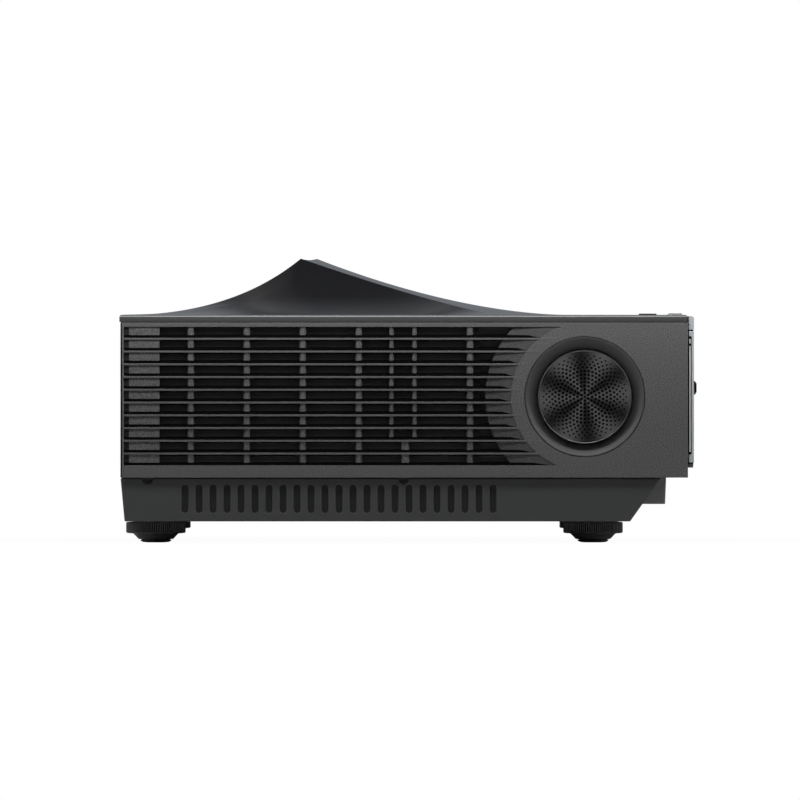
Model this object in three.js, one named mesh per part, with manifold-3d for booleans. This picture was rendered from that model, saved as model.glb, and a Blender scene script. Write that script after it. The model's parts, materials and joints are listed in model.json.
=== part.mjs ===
// Ultra-short-throw home projector, free standing on four screw feet.
// Millimetres, +Z up. The front faces -Y, the rear (wall side) faces +Y, and the width runs along X.
// The origin is the middle of the footprint, on the surface that the feet stand on.
import * as THREE from "three";
import { mergeVertices } from "three/addons/utils/BufferGeometryUtils.js";
import Module from "manifold-3d";

const wasm = await Module();
wasm.setup();

// ---------------------------------------------------------------- driving dimensions
const GAP = 0.3; // air between pieces that touch
const HALF_W = 300; // outer plane of each side panel
const REAR_Y = 172.8;
const FRONT_Y = -167.8;

const TUB = { halfW: 297, wall: 2.5, floorZ: 12.8, topZ: 38.8, frontTopY: -151.7, frontLowY: -133.2 };
const TUB_REAR = { lowY: 170.2, topY: 172.6 };
const TUB_SLOT = { count: 23, pitch: 8.4, firstY: 133.9, width: 3.8, z0: 17.9, z1: 34.9 };

const PANEL = { thick: 3, z0: 39.1, z1: 132.2 };
const BLADE = { count: 10, topZ: 122.5, pitch: 7.65, half: 0.8 };
const SLOT = { z0: 46.5, z1: 129.8, rearY: 149.2 };
const RIB_Y = [130.4, 96.8, 63.2, 29.6, -3.8, -37.1];
const RIB = { width: 2.4, depth: 4 };

const SPEAKER = { y: -106, z: 87.6, ringR: 35.9, capR: 28.2, slotR: 44.3 };

const LID = { z0: 132.5, z1: 136.8, frontY: -167.6, rearY: 173.3 };
const HOOD = { height: 34, halfW: 125, toeY: -97, sideToeY: -54, rearToeY: 170 };
const LIP = { midY: 55.3, cornerY: 64.9 };
const WELL = { halfW: 121, rearY: 152, wall: 2.5, floorFront: [54, 148.5], floorRear: [156, 125.2] };
const WINDOW = { halfW: 82, y0: 72, y1: 130, thick: 2 };

const FOOT = { x: 262, rearY: 151.6, frontY: -111.1, wheelR: 17.9, studR: 4, padR: 9.3 };
const BUTTON = { x: 235, y: -147.3, r: 5.5, topZ: 137.6, gap: 0.45 };
const TRIM_BAR = { halfW: 60, y0: -166.5, y1: -158.3, topZ: 137.8, floorZ: 135.4 };

const GRILLE = { halfW: 298, rearY: -168.4, frontY: -171.5, z0: 47.7, z1: 127.5 };
const TRIM_CAP = { z0: 127.9, z1: 136.0 };
const FOOT_STRIP = { z0: 45.1, z1: 47.4 };
const SENSOR = { halfW: 11, y0: -175.4, y1: -171.8, z0: 88.3, z1: 96.5, chamfer: 1.5 };

const REAR_SHEET = { halfW: 296.6, y0: 169.8, y1: 172.4 };
const REAR_VENT = { x0: 20, x1: 200, steps: 12, width: 4, z0: 86, z1: 122 };
const SOCKET_PLATE = { x0: -250, x1: -108, topZ: 70 };
const PORT_Y = { front: 150, floor: 158, mouth: 172.2 };
const INLET = {
  x: 268,
  z: 62,
  size: [30, 22],
  holes: [[0, 0, 24, 16.4]],
  flangeHalfW: 28.6,
  flangeHalfH: 22.4,
};

const AXIS = { z: 92 }; // optical axis of the projection lens, along Y at x = 0
const FAN = { side: 80, depth: 25, boreR: 37.5, bladeR: 36, hubR: 13, y: 100, z: 87, inset: 14 };
const FOCUS = { module: 0.8, ringTeeth: 88, ringCut: 17, pinionTeeth: 14, y0: 96, y1: 102 };
const BOARD_Z = 46; // underside of the two main circuit boards
const BOARD_T = 1.6;

// ---------------------------------------------------------------- materials
function material(hex, roughness, metalness) {
  return new THREE.MeshStandardMaterial({ color: hex, roughness, metalness });
}
const PAINT = () => material(0x4b4c4f, 0.5, 0.35);
const LID_PAINT = () => material(0x3a3c42, 0.4, 0.3);
const BLACK = () => material(0x1c1d1e, 0.6, 0.0);
const TUB_GREY = () => material(0x323433, 0.6, 0.0);
const SILVER = () => material(0xa9adaf, 0.35, 0.9);
const STEEL = () => material(0x8d9093, 0.4, 1.0);
const ALU = () => material(0xb9bcc0, 0.4, 1.0);
const RUBBER = () => material(0x161616, 0.9, 0.0);
const GREEN = () => material(0x174a2c, 0.5, 0.0);
const BRASS = () => material(0xb08d4a, 0.35, 1.0);

// ---------------------------------------------------------------- solids from three.js geometry
function solid(geometry) {
  const loose = geometry.index ? geometry.toNonIndexed() : geometry.clone();
  loose.deleteAttribute("normal");
  loose.deleteAttribute("uv");
  const merged = mergeVertices(loose, 1e-4);
  const mesh = new wasm.Mesh({
    numProp: 3,
    vertProperties: new Float32Array(merged.attributes.position.array),
    triVerts: new Uint32Array(merged.index.array),
  });
  return new wasm.Manifold(mesh);
}

function geometryOf(manifold) {
  const mesh = manifold.getMesh();
  const geometry = new THREE.BufferGeometry();
  geometry.setAttribute("position", new THREE.BufferAttribute(mesh.vertProperties, 3));
  geometry.setIndex(new THREE.BufferAttribute(mesh.triVerts, 1));
  geometry.computeVertexNormals();
  return geometry;
}

function box(x0, x1, y0, y1, z0, z1) {
  const geometry = new THREE.BoxGeometry(Math.abs(x1 - x0), Math.abs(y1 - y0), Math.abs(z1 - z0));
  geometry.translate((x0 + x1) / 2, (y0 + y1) / 2, (z0 + z1) / 2);
  return solid(geometry);
}

// A block placed by its middle and tilted about X, Y and Z in turn (degrees).
function tiltedBox(size, centre, tilt) {
  const geometry = new THREE.BoxGeometry(...size);
  const turn = new THREE.Euler(...tilt.map(THREE.MathUtils.degToRad));
  geometry.applyMatrix4(new THREE.Matrix4().makeRotationFromEuler(turn));
  geometry.translate(...centre);
  return solid(geometry);
}

function outlineShape(points) {
  return new THREE.Shape(points.map(([u, v]) => new THREE.Vector2(u, v)));
}

// Prism of an (x, y) outline between two heights.
function prismZ(points, z0, z1) {
  const geometry = new THREE.ExtrudeGeometry(outlineShape(points), { depth: z1 - z0, bevelEnabled: false });
  geometry.translate(0, 0, z0);
  return solid(geometry);
}

// Prism of a (y, z) outline between two x values.
function prismX(points, x0, x1) {
  const low = Math.min(x0, x1);
  const depth = Math.abs(x1 - x0);
  const geometry = new THREE.ExtrudeGeometry(outlineShape(points), { depth, bevelEnabled: false });
  geometry.applyMatrix4(new THREE.Matrix4().set(0, 0, 1, low, 1, 0, 0, 0, 0, 1, 0, 0, 0, 0, 0, 1));
  return solid(geometry);
}

// Prism of an (x, z) outline between two y values.
function prismY(points, y0, y1) {
  const swapped = points.map(([x, z]) => [z, x]);
  const geometry = new THREE.ExtrudeGeometry(outlineShape(swapped), { depth: y1 - y0, bevelEnabled: false });
  geometry.applyMatrix4(new THREE.Matrix4().set(0, 1, 0, 0, 0, 0, 1, y0, 1, 0, 0, 0, 0, 0, 0, 1));
  return solid(geometry);
}

// Turned piece on the Z axis. The profile holds [radius, z] points, rising on its outside.
function turned(profile, segments = 32) {
  const points = profile.map(([r, z]) => new THREE.Vector2(r, z));
  const geometry = new THREE.LatheGeometry(points, segments);
  geometry.rotateX(Math.PI / 2);
  return solid(geometry);
}

function turnedRing(rIn, rOut, z0, z1, segments = 32) {
  return turned([[rIn, z0], [rOut, z0], [rOut, z1], [rIn, z1], [rIn, z0]], segments);
}

function disc(r, z0, z1, segments = 32) {
  return turned([[0, z0], [r, z0], [r, z1], [0, z1]], segments);
}

function joined(first, ...others) {
  return others.reduce((sum, other) => sum.add(other), first);
}

function mesh(name, shape, mat) {
  const node = new THREE.Mesh(geometryOf(shape), mat);
  node.name = name;
  return node;
}

function group(...children) {
  const set = new THREE.Group();
  set.add(...children);
  return set;
}

// A group whose local +Z points outward through one side of the case (side is -1 or +1).
function sideGroup(side, y, z, ...children) {
  const set = group(...children);
  set.position.set(side * HALF_W, y, z);
  set.rotation.y = (side * Math.PI) / 2;
  return set;
}

// A group whose local +Z points along +Y, for pieces turned about the optical axis.
function opticGroup(x, y, z, ...children) {
  const set = group(...children);
  set.position.set(x, y, z);
  set.rotation.x = -Math.PI / 2;
  return set;
}

// ---------------------------------------------------------------- hood surface
function clamp01(value) {
  return Math.min(1, Math.max(0, value));
}

function lipY(x) {
  return LIP.midY + (LIP.cornerY - LIP.midY) * clamp01(Math.abs(x) / HOOD.halfW) ** 2;
}

function crownHeight(y) {
  return HOOD.height * clamp01((y - HOOD.toeY) / (LIP.midY - HOOD.toeY)) ** 1.74;
}

function creaseHeight(y) {
  return HOOD.height * clamp01((y - HOOD.sideToeY) / (LIP.cornerY - HOOD.sideToeY)) ** 1.2;
}

function rearHeight(y) {
  const s = clamp01((HOOD.rearToeY - y) / (HOOD.rearToeY - LIP.cornerY));
  return HOOD.height * s ** (2.05 + 0.47 * s);
}

function edgeHeight(y) {
  return y < LIP.cornerY ? creaseHeight(y) : rearHeight(y);
}

function smooth(value) {
  const t = clamp01(value);
  return t * t * (3 - 2 * t);
}

// Height of the hood's side at a distance out from its edge: it flares at the front and the rear end.
function flankHeight(out, y) {
  const blur = Math.min(14, 1.1 * out);
  const near = edgeHeight(y - blur) + edgeHeight(y + blur);
  const far = edgeHeight(y - 2 * blur) + edgeHeight(y + 2 * blur);
  const edge = 0.4 * edgeHeight(y) + 0.2 * near + 0.1 * far;
  const behind = smooth((y - 50) / 80);
  const ahead = smooth((10 - y) / 55);
  const flare = 5 + (9 * edge) / HOOD.height + 52 * behind + 20 * ahead;
  return edge * clamp01(1 - out / flare) ** (1.25 + 1.05 * behind + 0.75 * ahead);
}

// Height of the hood above the lid at a place in plan. Over the lens well it is the well's brim.
function hoodHeight(x, y) {
  const across = Math.abs(x);
  if (across > HOOD.halfW) return flankHeight(across - HOOD.halfW, y);
  const edge = edgeHeight(y);
  if (y > LIP.cornerY) return edge;
  if (y > lipY(x)) return HOOD.height;
  if (y > HOOD.sideToeY) {
    const crown = Math.min(crownHeight(y), HOOD.height);
    return edge + (crown - edge) * (1 - (across / HOOD.halfW) ** 2);
  }
  const toe = HOOD.halfW * Math.sqrt(clamp01((y - HOOD.toeY) / (HOOD.sideToeY - HOOD.toeY)));
  return toe > 0 ? crownHeight(y) * clamp01(1 - (across / toe) ** 2) : 0;
}

// Closed block over a grid: its top follows top(x, y), its bottom follows bottom(x, y).
function fieldSolid(xs, ys, top, bottom) {
  const columns = xs.length;
  const rows = ys.length;
  const positions = [];
  for (const height of [top, bottom]) {
    for (const y of ys) {
      for (const x of xs) positions.push(x, y, height(x, y));
    }
  }
  const at = (layer, row, column) => layer * rows * columns + row * columns + column;
  const index = [];
  const quad = (a, b, c, d) => index.push(a, b, c, a, c, d);
  for (let r = 0; r < rows - 1; r++) {
    for (let c = 0; c < columns - 1; c++) {
      quad(at(0, r, c), at(0, r, c + 1), at(0, r + 1, c + 1), at(0, r + 1, c));
      quad(at(1, r, c), at(1, r + 1, c), at(1, r + 1, c + 1), at(1, r, c + 1));
    }
  }
  for (let c = 0; c < columns - 1; c++) {
    quad(at(1, 0, c), at(1, 0, c + 1), at(0, 0, c + 1), at(0, 0, c));
    quad(at(0, rows - 1, c), at(0, rows - 1, c + 1), at(1, rows - 1, c + 1), at(1, rows - 1, c));
  }
  for (let r = 0; r < rows - 1; r++) {
    quad(at(0, r, 0), at(0, r + 1, 0), at(1, r + 1, 0), at(1, r, 0));
    quad(at(1, r, columns - 1), at(1, r + 1, columns - 1), at(0, r + 1, columns - 1), at(0, r, columns - 1));
  }
  const geometry = new THREE.BufferGeometry();
  geometry.setAttribute("position", new THREE.Float32BufferAttribute(positions, 3));
  geometry.setIndex(index);
  return solid(geometry);
}

function evenly(from, to, steps) {
  return Array.from({ length: steps + 1 }, (_, i) => from + ((to - from) * i) / steps);
}

// Plan outline of the lens well: a straight-sided recess whose front follows the hood's curved lip.
function wellOutline(inset) {
  const half = WELL.halfW - inset;
  const front = evenly(-half, half, 12).map((x) => [x, lipY(x) + inset]);
  return [...front, [half, WELL.rearY - inset], [-half, WELL.rearY - inset]];
}

// ---------------------------------------------------------------- case
function baseTub() {
  const { halfW, wall, floorZ, topZ, frontTopY, frontLowY } = TUB;
  const outer = [
    [frontLowY, floorZ],
    [TUB_REAR.lowY, floorZ],
    [TUB_REAR.topY, topZ],
    [frontTopY, topZ],
  ];
  const inner = [
    [frontLowY + 1.5, floorZ + wall],
    [TUB_REAR.lowY - wall, floorZ + wall],
    [TUB_REAR.topY - wall, topZ + 1],
    [frontTopY + wall + 0.7, topZ + 1],
  ];
  let tub = prismX(outer, -halfW, halfW).subtract(prismX(inner, -halfW + wall, halfW - wall));
  for (let i = 0; i < TUB_SLOT.count; i++) {
    const y = TUB_SLOT.firstY - i * TUB_SLOT.pitch;
    const outline = stadium(y, TUB_SLOT.z0, TUB_SLOT.z1, TUB_SLOT.width / 2);
    tub = tub.subtract(prismX(outline, -halfW - 1, halfW + 1));
  }
  for (const [x, y] of footPlaces()) {
    const hole = disc(FOOT.studR + 0.5, floorZ - 1, floorZ + wall + 1, 20).translate([x, y, 0]);
    tub = tub.subtract(hole);
  }
  for (const [x, y] of boardPosts()) {
    tub = tub.add(box(x - 3, x + 3, y - 3, y + 3, floorZ + wall - 0.5, BOARD_Z - GAP));
  }
  return mesh("base_tub", tub, TUB_GREY());
}

function stadium(y, z0, z1, r) {
  const points = [];
  for (const [z, start] of [[z1 - r, 0], [z0 + r, Math.PI]]) {
    for (let i = 0; i <= 2; i++) {
      const a = start + (Math.PI * i) / 2;
      points.push([y + r * Math.cos(a), z + r * Math.sin(a)]);
    }
  }
  return points;
}

function footPlaces() {
  return [-1, 1].flatMap((side) => [FOOT.frontY, FOOT.rearY].map((y) => [side * FOOT.x, y]));
}

function boardPosts() {
  const main = [[-236, 0], [-236, 150], [-84, 0], [-84, 150]];
  const supply = [[-180, -126], [-180, -45], [60, -126], [60, -45]];
  return [...main, ...supply];
}

function frontLowerBox() {
  const slope = (TUB.frontTopY - TUB.frontLowY) / (TUB.topZ - TUB.floorZ);
  const tubFace = (z) => TUB.frontLowY + slope * (z - TUB.floorZ) - 0.4;
  const outer = [[-154.6, 23], [tubFace(23), 23], [tubFace(38.6), 38.6], [-155.2, 38.6]];
  const inner = [[-152.6, 25], [tubFace(25) + 3, 25], [tubFace(37) + 3, 37], [-153.1, 37]];
  const shell = prismX(outer, -240, 240).subtract(prismX(inner, -238, 238));
  return mesh("front_lower_box", shell, BLACK());
}

// Front end of a slot, where it meets the flat ring round the speaker.
function slotFrontY(z) {
  const dz = z - SPEAKER.z;
  return SPEAKER.y + Math.sqrt(SPEAKER.slotR ** 2 - dz ** 2);
}

function slotRanges() {
  const ranges = [];
  let top = SLOT.z1;
  for (let i = 0; i < BLADE.count; i++) {
    const blade = BLADE.topZ - i * BLADE.pitch;
    ranges.push([blade + BLADE.half, top]);
    top = blade - BLADE.half;
  }
  ranges.push([SLOT.z0, top]);
  return ranges;
}

function sidePanel(side) {
  const outer = side * HALF_W;
  const inner = side * (HALF_W - PANEL.thick);
  let panel = box(outer, inner, FRONT_Y, REAR_Y - 0.1, PANEL.z0, PANEL.z1);
  for (const [z0, z1] of slotRanges()) {
    const front = evenly(z0, z1, 1).map((z) => [slotFrontY(z), z]);
    const outline = [[SLOT.rearY, z0], ...front, [SLOT.rearY, z1]];
    panel = panel.subtract(prismX(outline, outer + side, inner - side));
  }
  for (const y of RIB_Y) {
    const depth = side * (HALF_W - PANEL.thick - RIB.depth);
    const overlap = inner + side * 0.5;
    panel = panel.add(box(overlap, depth, y - RIB.width / 2, y + RIB.width / 2, 43, 131.5));
  }
  const bore = disc(SPEAKER.ringR + GAP, -10, 5).rotate([0, side * 90, 0]);
  panel = panel.subtract(bore.translate([outer, SPEAKER.y, SPEAKER.z]));
  return mesh(`${sideName(side)}_side_panel`, panel, PAINT());
}

function sideName(side) {
  return side < 0 ? "left" : "right";
}

// Slanted air baffle that sits behind the slots.
function ventLouver(side) {
  const front = side * 292.6;
  const back = side * 284.5;
  let louver = joined(
    box(front, back, 164, 168, 41, 130.5),
    box(front, back, -46, -42, 41, 130.5),
  );
  for (let i = 0; i < BLADE.count; i++) {
    const z = BLADE.topZ - i * BLADE.pitch - 1.5;
    const outline = [[front, z - 2.6], [back, z + 1.4], [back, z + 2.6], [front, z - 1.4]];
    louver = louver.add(prismY(outline, -43, 165));
  }
  return mesh(`${sideName(side)}_vent_louver`, louver, BLACK());
}

// Cuts a hole of the rear sheet metal, right through its thickness.
function rearCut(sheet, x0, x1, z0, z1) {
  return sheet.subtract(box(x0, x1, REAR_SHEET.y0 - 1, REAR_SHEET.y1 + 1, z0, z1));
}

// The rear sheet is notched at its lower edge for the socket plate and for the mains inlet's flange.
function rearPanel() {
  const { halfW, y0, y1 } = REAR_SHEET;
  const sillZ = PANEL.z0 + GAP;
  let panel = box(-halfW, halfW, y0, y1, sillZ, PANEL.z1);
  panel = rearCut(panel, SOCKET_PLATE.x0 - GAP, SOCKET_PLATE.x1 + GAP, sillZ - 1, SOCKET_PLATE.topZ + GAP);
  const flangeX = INLET.x - INLET.flangeHalfW - GAP;
  panel = rearCut(panel, flangeX, halfW + 1, sillZ - 1, INLET.z + INLET.flangeHalfH + GAP);
  for (const x of evenly(REAR_VENT.x0, REAR_VENT.x1, REAR_VENT.steps)) {
    panel = rearCut(panel, x, x + REAR_VENT.width, REAR_VENT.z0, REAR_VENT.z1);
  }
  return mesh("rear_panel", panel, PAINT());
}

// Plate round the signal sockets, let into the rear sheet.
function socketPlate() {
  const { y0, y1 } = REAR_SHEET;
  let plate = box(SOCKET_PLATE.x0, SOCKET_PLATE.x1, y0, y1, PANEL.z0 + GAP, SOCKET_PLATE.topZ);
  for (const { x, z, size } of SIGNAL_PORTS) {
    const [w, h] = size.map((s) => s / 2 + GAP);
    plate = rearCut(plate, x - w, x + w, z - h, z + h);
  }
  return mesh("socket_plate", plate, BLACK());
}

function frontPieces() {
  const sillZ = PANEL.z0 + GAP;
  const upright = box(-296.6, 296.6, -167.7, -165.3, sillZ, PANEL.z1);
  const frame = upright.add(box(-296.6, 296.6, -165.5, -152, sillZ, sillZ + 2));
  const { halfW, rearY, frontY } = GRILLE;
  const grille = box(-halfW, halfW, frontY, rearY, GRILLE.z0, GRILLE.z1);
  const groove = box(-halfW - 1, halfW + 1, -169.4, rearY + 1, 130.9, 131.3);
  const cap = prismX(
    [[frontY, TRIM_CAP.z0], [rearY, TRIM_CAP.z0], [rearY, TRIM_CAP.z1], [frontY + 1, TRIM_CAP.z1],
      [frontY, TRIM_CAP.z1 - 1]],
    -halfW,
    halfW,
  ).subtract(groove);
  const strip = box(-halfW, halfW, frontY + 0.5, rearY, FOOT_STRIP.z0, FOOT_STRIP.z1);
  const { y0, y1, z0, z1 } = SENSOR;
  const sensor = prismX(
    [
      [y0, z0 + SENSOR.chamfer],
      [y0 + 1, z0],
      [y1, z0],
      [y1, z1],
      [y0 + 1, z1],
      [y0, z1 - SENSOR.chamfer],
    ],
    -SENSOR.halfW,
    SENSOR.halfW,
  );
  return group(
    mesh("front_frame", frame, BLACK()),
    mesh("front_grille", grille, SILVER()),
    mesh("front_trim_cap", cap, SILVER()),
    mesh("front_foot_strip", strip, BLACK()),
    mesh("sensor_window", sensor, BLACK()),
  );
}

function coverColumns() {
  const half = [30, 70, 100, HOOD.halfW, 129, 134, 140, 150, 170, 196, HALF_W];
  return [...half.map((x) => -x).reverse(), ...half];
}

function coverRows() {
  const front = [LID.frontY, HOOD.toeY, -75, HOOD.sideToeY, -38, -15, 10, 35];
  const rear = [75, 88, 103, 120, 140, LID.rearY];
  return [...front, LIP.midY, LIP.cornerY, ...rear];
}

function topCover() {
  const thick = LID.z1 - LID.z0;
  const top = (x, y) => LID.z1 + hoodHeight(x, y);
  let cover = fieldSolid(coverColumns(), coverRows(), top, (x, y) => top(x, y) - thick);
  cover = cover.subtract(prismZ(wellOutline(0), LID.z0 - 10, 200));
  const buttonBore = disc(BUTTON.r + BUTTON.gap, LID.z0 - 5, LID.z1 + 5, 24);
  cover = cover.subtract(buttonBore.translate([BUTTON.x, BUTTON.y, 0]));
  const pocket = TRIM_BAR.halfW + GAP;
  const seatZ = TRIM_BAR.floorZ - GAP;
  cover = cover.subtract(box(-pocket, pocket, TRIM_BAR.y0 - GAP, TRIM_BAR.y1 + GAP, seatZ, 140));
  return mesh("top_cover", cover, LID_PAINT());
}

function topDetails() {
  const { y0, y1, floorZ, topZ } = TRIM_BAR;
  const bevelled = [[y0, floorZ], [y1, floorZ], [y1, topZ - 0.7], [y1 - 0.9, topZ], [y0 + 0.9, topZ],
    [y0, topZ - 0.7]];
  const bar = prismX(bevelled, -TRIM_BAR.halfW, TRIM_BAR.halfW);
  const cap = turned([[0, 130.6], [2, 130.6], [2, 133.6], [BUTTON.r, 133.6], [BUTTON.r, BUTTON.topZ - 0.4],
    [BUTTON.r - 0.4, BUTTON.topZ], [0, BUTTON.topZ]], 24);
  const button = mesh("power_button", cap, BLACK());
  button.position.set(BUTTON.x, BUTTON.y, 0);
  const board = box(-14, 14, -10, 10, 122.0, 123.6).add(box(-3.1, 3.1, -3.1, 3.1, 123.4, 129.3));
  const switchBoard = mesh("button_switch_board", board, GREEN());
  switchBoard.position.set(BUTTON.x, BUTTON.y, 0);
  return group(mesh("top_trim_bar", bar, SILVER()), button, switchBoard);
}

// Height of the well floor's upper face at a y value.
function wellFloorZ(y) {
  const [ya, za] = WELL.floorFront;
  const [yb, zb] = WELL.floorRear;
  return za + ((zb - za) * (y - ya)) / (yb - ya);
}

// A plate that follows the sloping well floor, between two heights above its upper face.
function slopedPlate(y0, y1, low, high, halfW) {
  const outline = [[y0, wellFloorZ(y0) + low], [y1, wellFloorZ(y1) + low], [y1, wellFloorZ(y1) + high],
    [y0, wellFloorZ(y0) + high]];
  return prismX(outline, -halfW, halfW);
}

function lensWell() {
  const xs = evenly(-WELL.halfW, WELL.halfW, 4);
  const ys = [50, LIP.midY, LIP.cornerY, 75, 88, 103, 120, 140, 155];
  const brim = fieldSolid(xs, ys, (x, y) => LID.z1 + hoodHeight(x, y) - 1, () => 110);
  const ring = prismZ(wellOutline(GAP), 112, 175).subtract(prismZ(wellOutline(GAP + WELL.wall), 111, 176));
  const belowFloor = slopedPlate(40, 165, -60, -WELL.wall, 140);
  const floor = slopedPlate(50, 160, -WELL.wall, 0, WELL.halfW).intersect(prismZ(wellOutline(GAP), 100, 175));
  const aperture = slopedPlate(WINDOW.y0 - GAP, WINDOW.y1 + GAP, -5, 3, WINDOW.halfW + GAP);
  const well = ring.intersect(brim).subtract(belowFloor).add(floor).subtract(aperture);
  const glass = slopedPlate(WINDOW.y0, WINDOW.y1, -WINDOW.thick - 0.2, -0.2, WINDOW.halfW);
  return group(mesh("lens_well", well, BLACK()), mesh("lens_window", glass, material(0x202830, 0.05, 0.0)));
}

// ---------------------------------------------------------------- speakers
function speaker(side) {
  const { ringR, capR } = SPEAKER;
  const name = sideName(side);
  const ring = turned([[capR + GAP, -8.5], [ringR, -8.5], [ringR, 0], [ringR - 0.8, 0], [ringR - 2.2, -1.6],
    [ringR - 4.4, -3.4], [capR + GAP, -4.6], [capR + GAP, -8.5]]);
  const cap = turned([[0, -3.4], [capR - 3, -4.2], [capR - 3, -7.5], [capR, -7.5], [capR, -2.4],
    [capR - 1.2, -1.6], [0, -0.6]]);
  const driver = turned([[0, -40], [16, -40], [16, -25], [27, -14], [32, -14], [32, -11.4], [29, -11.4],
    [27, -9.6], [25, -11.2], [9, -17], [0, -15]], 24);
  const up = -side; // local X points up on the left of the case and down on the right
  const cabinet = box(up * -42, up * 33, -54, 46, -92, -14.3);
  const hollow = box(up * -39.5, up * 30.5, -51.5, 43.5, -89.5, -16.8);
  const shell = cabinet.subtract(hollow).subtract(disc(27.6, -20, -10, 24));
  return sideGroup(side, SPEAKER.y, SPEAKER.z,
    mesh(`${name}_speaker_ring`, ring, PAINT()),
    mesh(`${name}_speaker_cap`, cap, STEEL()),
    mesh(`${name}_speaker_driver`, driver, BLACK()),
    mesh(`${name}_speaker_box`, shell, BLACK()));
}

// ---------------------------------------------------------------- feet
function foot(place, x, y) {
  const { wheelR, studR, padR } = FOOT;
  const wheel = turned([[0, 2], [10.8, 2], [13.6, 5.5], [wheelR, 5.5], [wheelR, 12.5], [studR, 12.5],
    [studR, 34], [0, 34]], 24);
  const pad = turned([[0, 0], [padR - 0.4, 0], [padR, 1.7], [0, 1.7]], 20);
  const bush = turnedRing(studR + 0.3, 7, TUB.floorZ + TUB.wall + GAP, 30, 16);
  const set = group(
    mesh(`${place}_foot_wheel`, wheel, BLACK()),
    mesh(`${place}_foot_pad`, pad, RUBBER()),
    mesh(`${place}_foot_bush`, bush, BRASS()),
  );
  set.position.set(x, y, 0);
  return set;
}

// ---------------------------------------------------------------- cooling
function fan(side) {
  const half = FAN.side / 2;
  const z0 = -FAN.depth / 2;
  const z1 = FAN.depth / 2;
  let frame = box(-half, half, -half, half, z0, z1).subtract(disc(FAN.boreR, z0 - 1, z1 + 1, 28));
  frame = frame.add(disc(FAN.hubR + 1, z0, z0 + 2.5, 20));
  for (let i = 0; i < 3; i++) {
    const angle = 90 + i * 120;
    const turn = THREE.MathUtils.degToRad(angle);
    const reach = 25.5;
    const centre = [reach * Math.cos(turn), reach * Math.sin(turn), z0 + 1.25];
    frame = frame.add(tiltedBox([26, 3, 2.5], centre, [0, 0, angle]));
  }
  for (const [u, v] of [[-1, -1], [-1, 1], [1, -1], [1, 1]]) {
    frame = frame.subtract(disc(2, z0 - 1, z1 + 1, 8).translate([u * 35.8, v * 35.8, 0]));
  }
  const name = sideName(side);
  const set = group(
    mesh(`${name}_fan_frame`, frame, BLACK()),
    mesh(`${name}_fan_rotor`, fanRotor(), BLACK()),
  );
  set.position.set(side * (HALF_W - FAN.inset - FAN.depth / 2 - 3), FAN.y, FAN.z);
  set.rotation.y = (side * Math.PI) / 2;
  return set;
}

function fanRotor() {
  const z0 = -FAN.depth / 2 + 2.5 + 0.6;
  const z1 = FAN.depth / 2 - 1;
  let rotor = disc(FAN.hubR, z0, z1, 20);
  const blades = 7;
  for (let i = 0; i < blades; i++) {
    const angle = (i * 360) / blades;
    const blade = tiltedBox([FAN.bladeR - FAN.hubR + 1, 1.4, 20], [0, 0, 0], [38, 0, 0]);
    const placed = blade.translate([(FAN.bladeR + FAN.hubR) / 2 - 0.5, 0, (z0 + z1) / 2]);
    rotor = rotor.add(placed.rotate([0, 0, angle]));
  }
  return rotor;
}

// ---------------------------------------------------------------- optics
// Outline of a gear of which only the first cut teeth are formed; the rest of the rim is plain.
function gearOutline(teeth, cut, phase) {
  const m = FOCUS.module;
  const pitch = (2 * Math.PI) / teeth;
  const rTip = (teeth / 2 + 0.75) * m;
  const rRoot = (teeth / 2 - 1.1) * m;
  const points = [];
  for (let i = cut; i < teeth; i += 3) {
    const angle = phase + i * pitch;
    points.push([rRoot * Math.cos(angle), rRoot * Math.sin(angle)]);
  }
  for (let i = 0; i < cut; i++) {
    const mid = phase + i * pitch;
    for (const [r, share] of [[rRoot, -0.28], [rTip, -0.09], [rTip, 0.09], [rRoot, 0.28]]) {
      points.push([r * Math.cos(mid + share * pitch), r * Math.sin(mid + share * pitch)]);
    }
  }
  return points;
}

function projectionLens() {
  const barrel = turned([[0, -28], [22, -28], [30, -26], [33, -20], [33, -4], [27, -4], [27, 10], [30, 10],
    [30, 22], [24, 28], [0, 28]], 28);
  const glassBowl = turned([[0, -30], [23, -30], [23, -27], [0, -22]], 28);
  return opticGroup(0, 100, AXIS.z, mesh("projection_lens", barrel.subtract(glassBowl), ALU()));
}

function focusDrive() {
  const { module: m, ringTeeth, ringCut, pinionTeeth, y0, y1 } = FOCUS;
  const width = y1 - y0;
  const bore = disc(27.4, -1, width + 1, 28);
  const firstTooth = (-(ringCut - 1) * Math.PI) / ringTeeth;
  const ring = prismZ(gearOutline(ringTeeth, ringCut, firstTooth), 0, width).subtract(bore);
  const distance = ((ringTeeth + pinionTeeth) / 2) * m + 0.1;
  const halfTooth = Math.PI / pinionTeeth;
  const gear = prismZ(gearOutline(pinionTeeth, pinionTeeth, Math.PI + halfTooth), 0, width);
  const pinion = gear.add(disc(1, width - 0.5, width + 3, 8));
  const can = turnedRing(1.4, 7, width + 3.3, width + 24, 16).add(disc(7, width + 8, width + 24, 16));
  const placed = [mesh("focus_pinion", pinion, BRASS()), mesh("focus_motor", can, STEEL())];
  for (const node of placed) node.position.x = distance;
  return opticGroup(0, y0, AXIS.z, mesh("focus_ring", ring, BLACK()), ...placed);
}

function mirrorSolid() {
  const rows = evenly(-144, -98, 4);
  const columns = evenly(-82, 82, 8);
  const bowl = (x, z) => {
    const lean = 46 - (z - 98) * 0.62;
    return lean + (x / 82) ** 2 * 9 + ((z - 121) / 23) ** 2 * 2;
  };
  // The field is drawn lying down, with -z along its second axis, then turned upright.
  const flat = fieldSolid(columns, rows, (x, down) => bowl(x, -down), (x, down) => bowl(x, -down) - 4);
  return flat.rotate([-90, 0, 0]);
}

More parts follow.
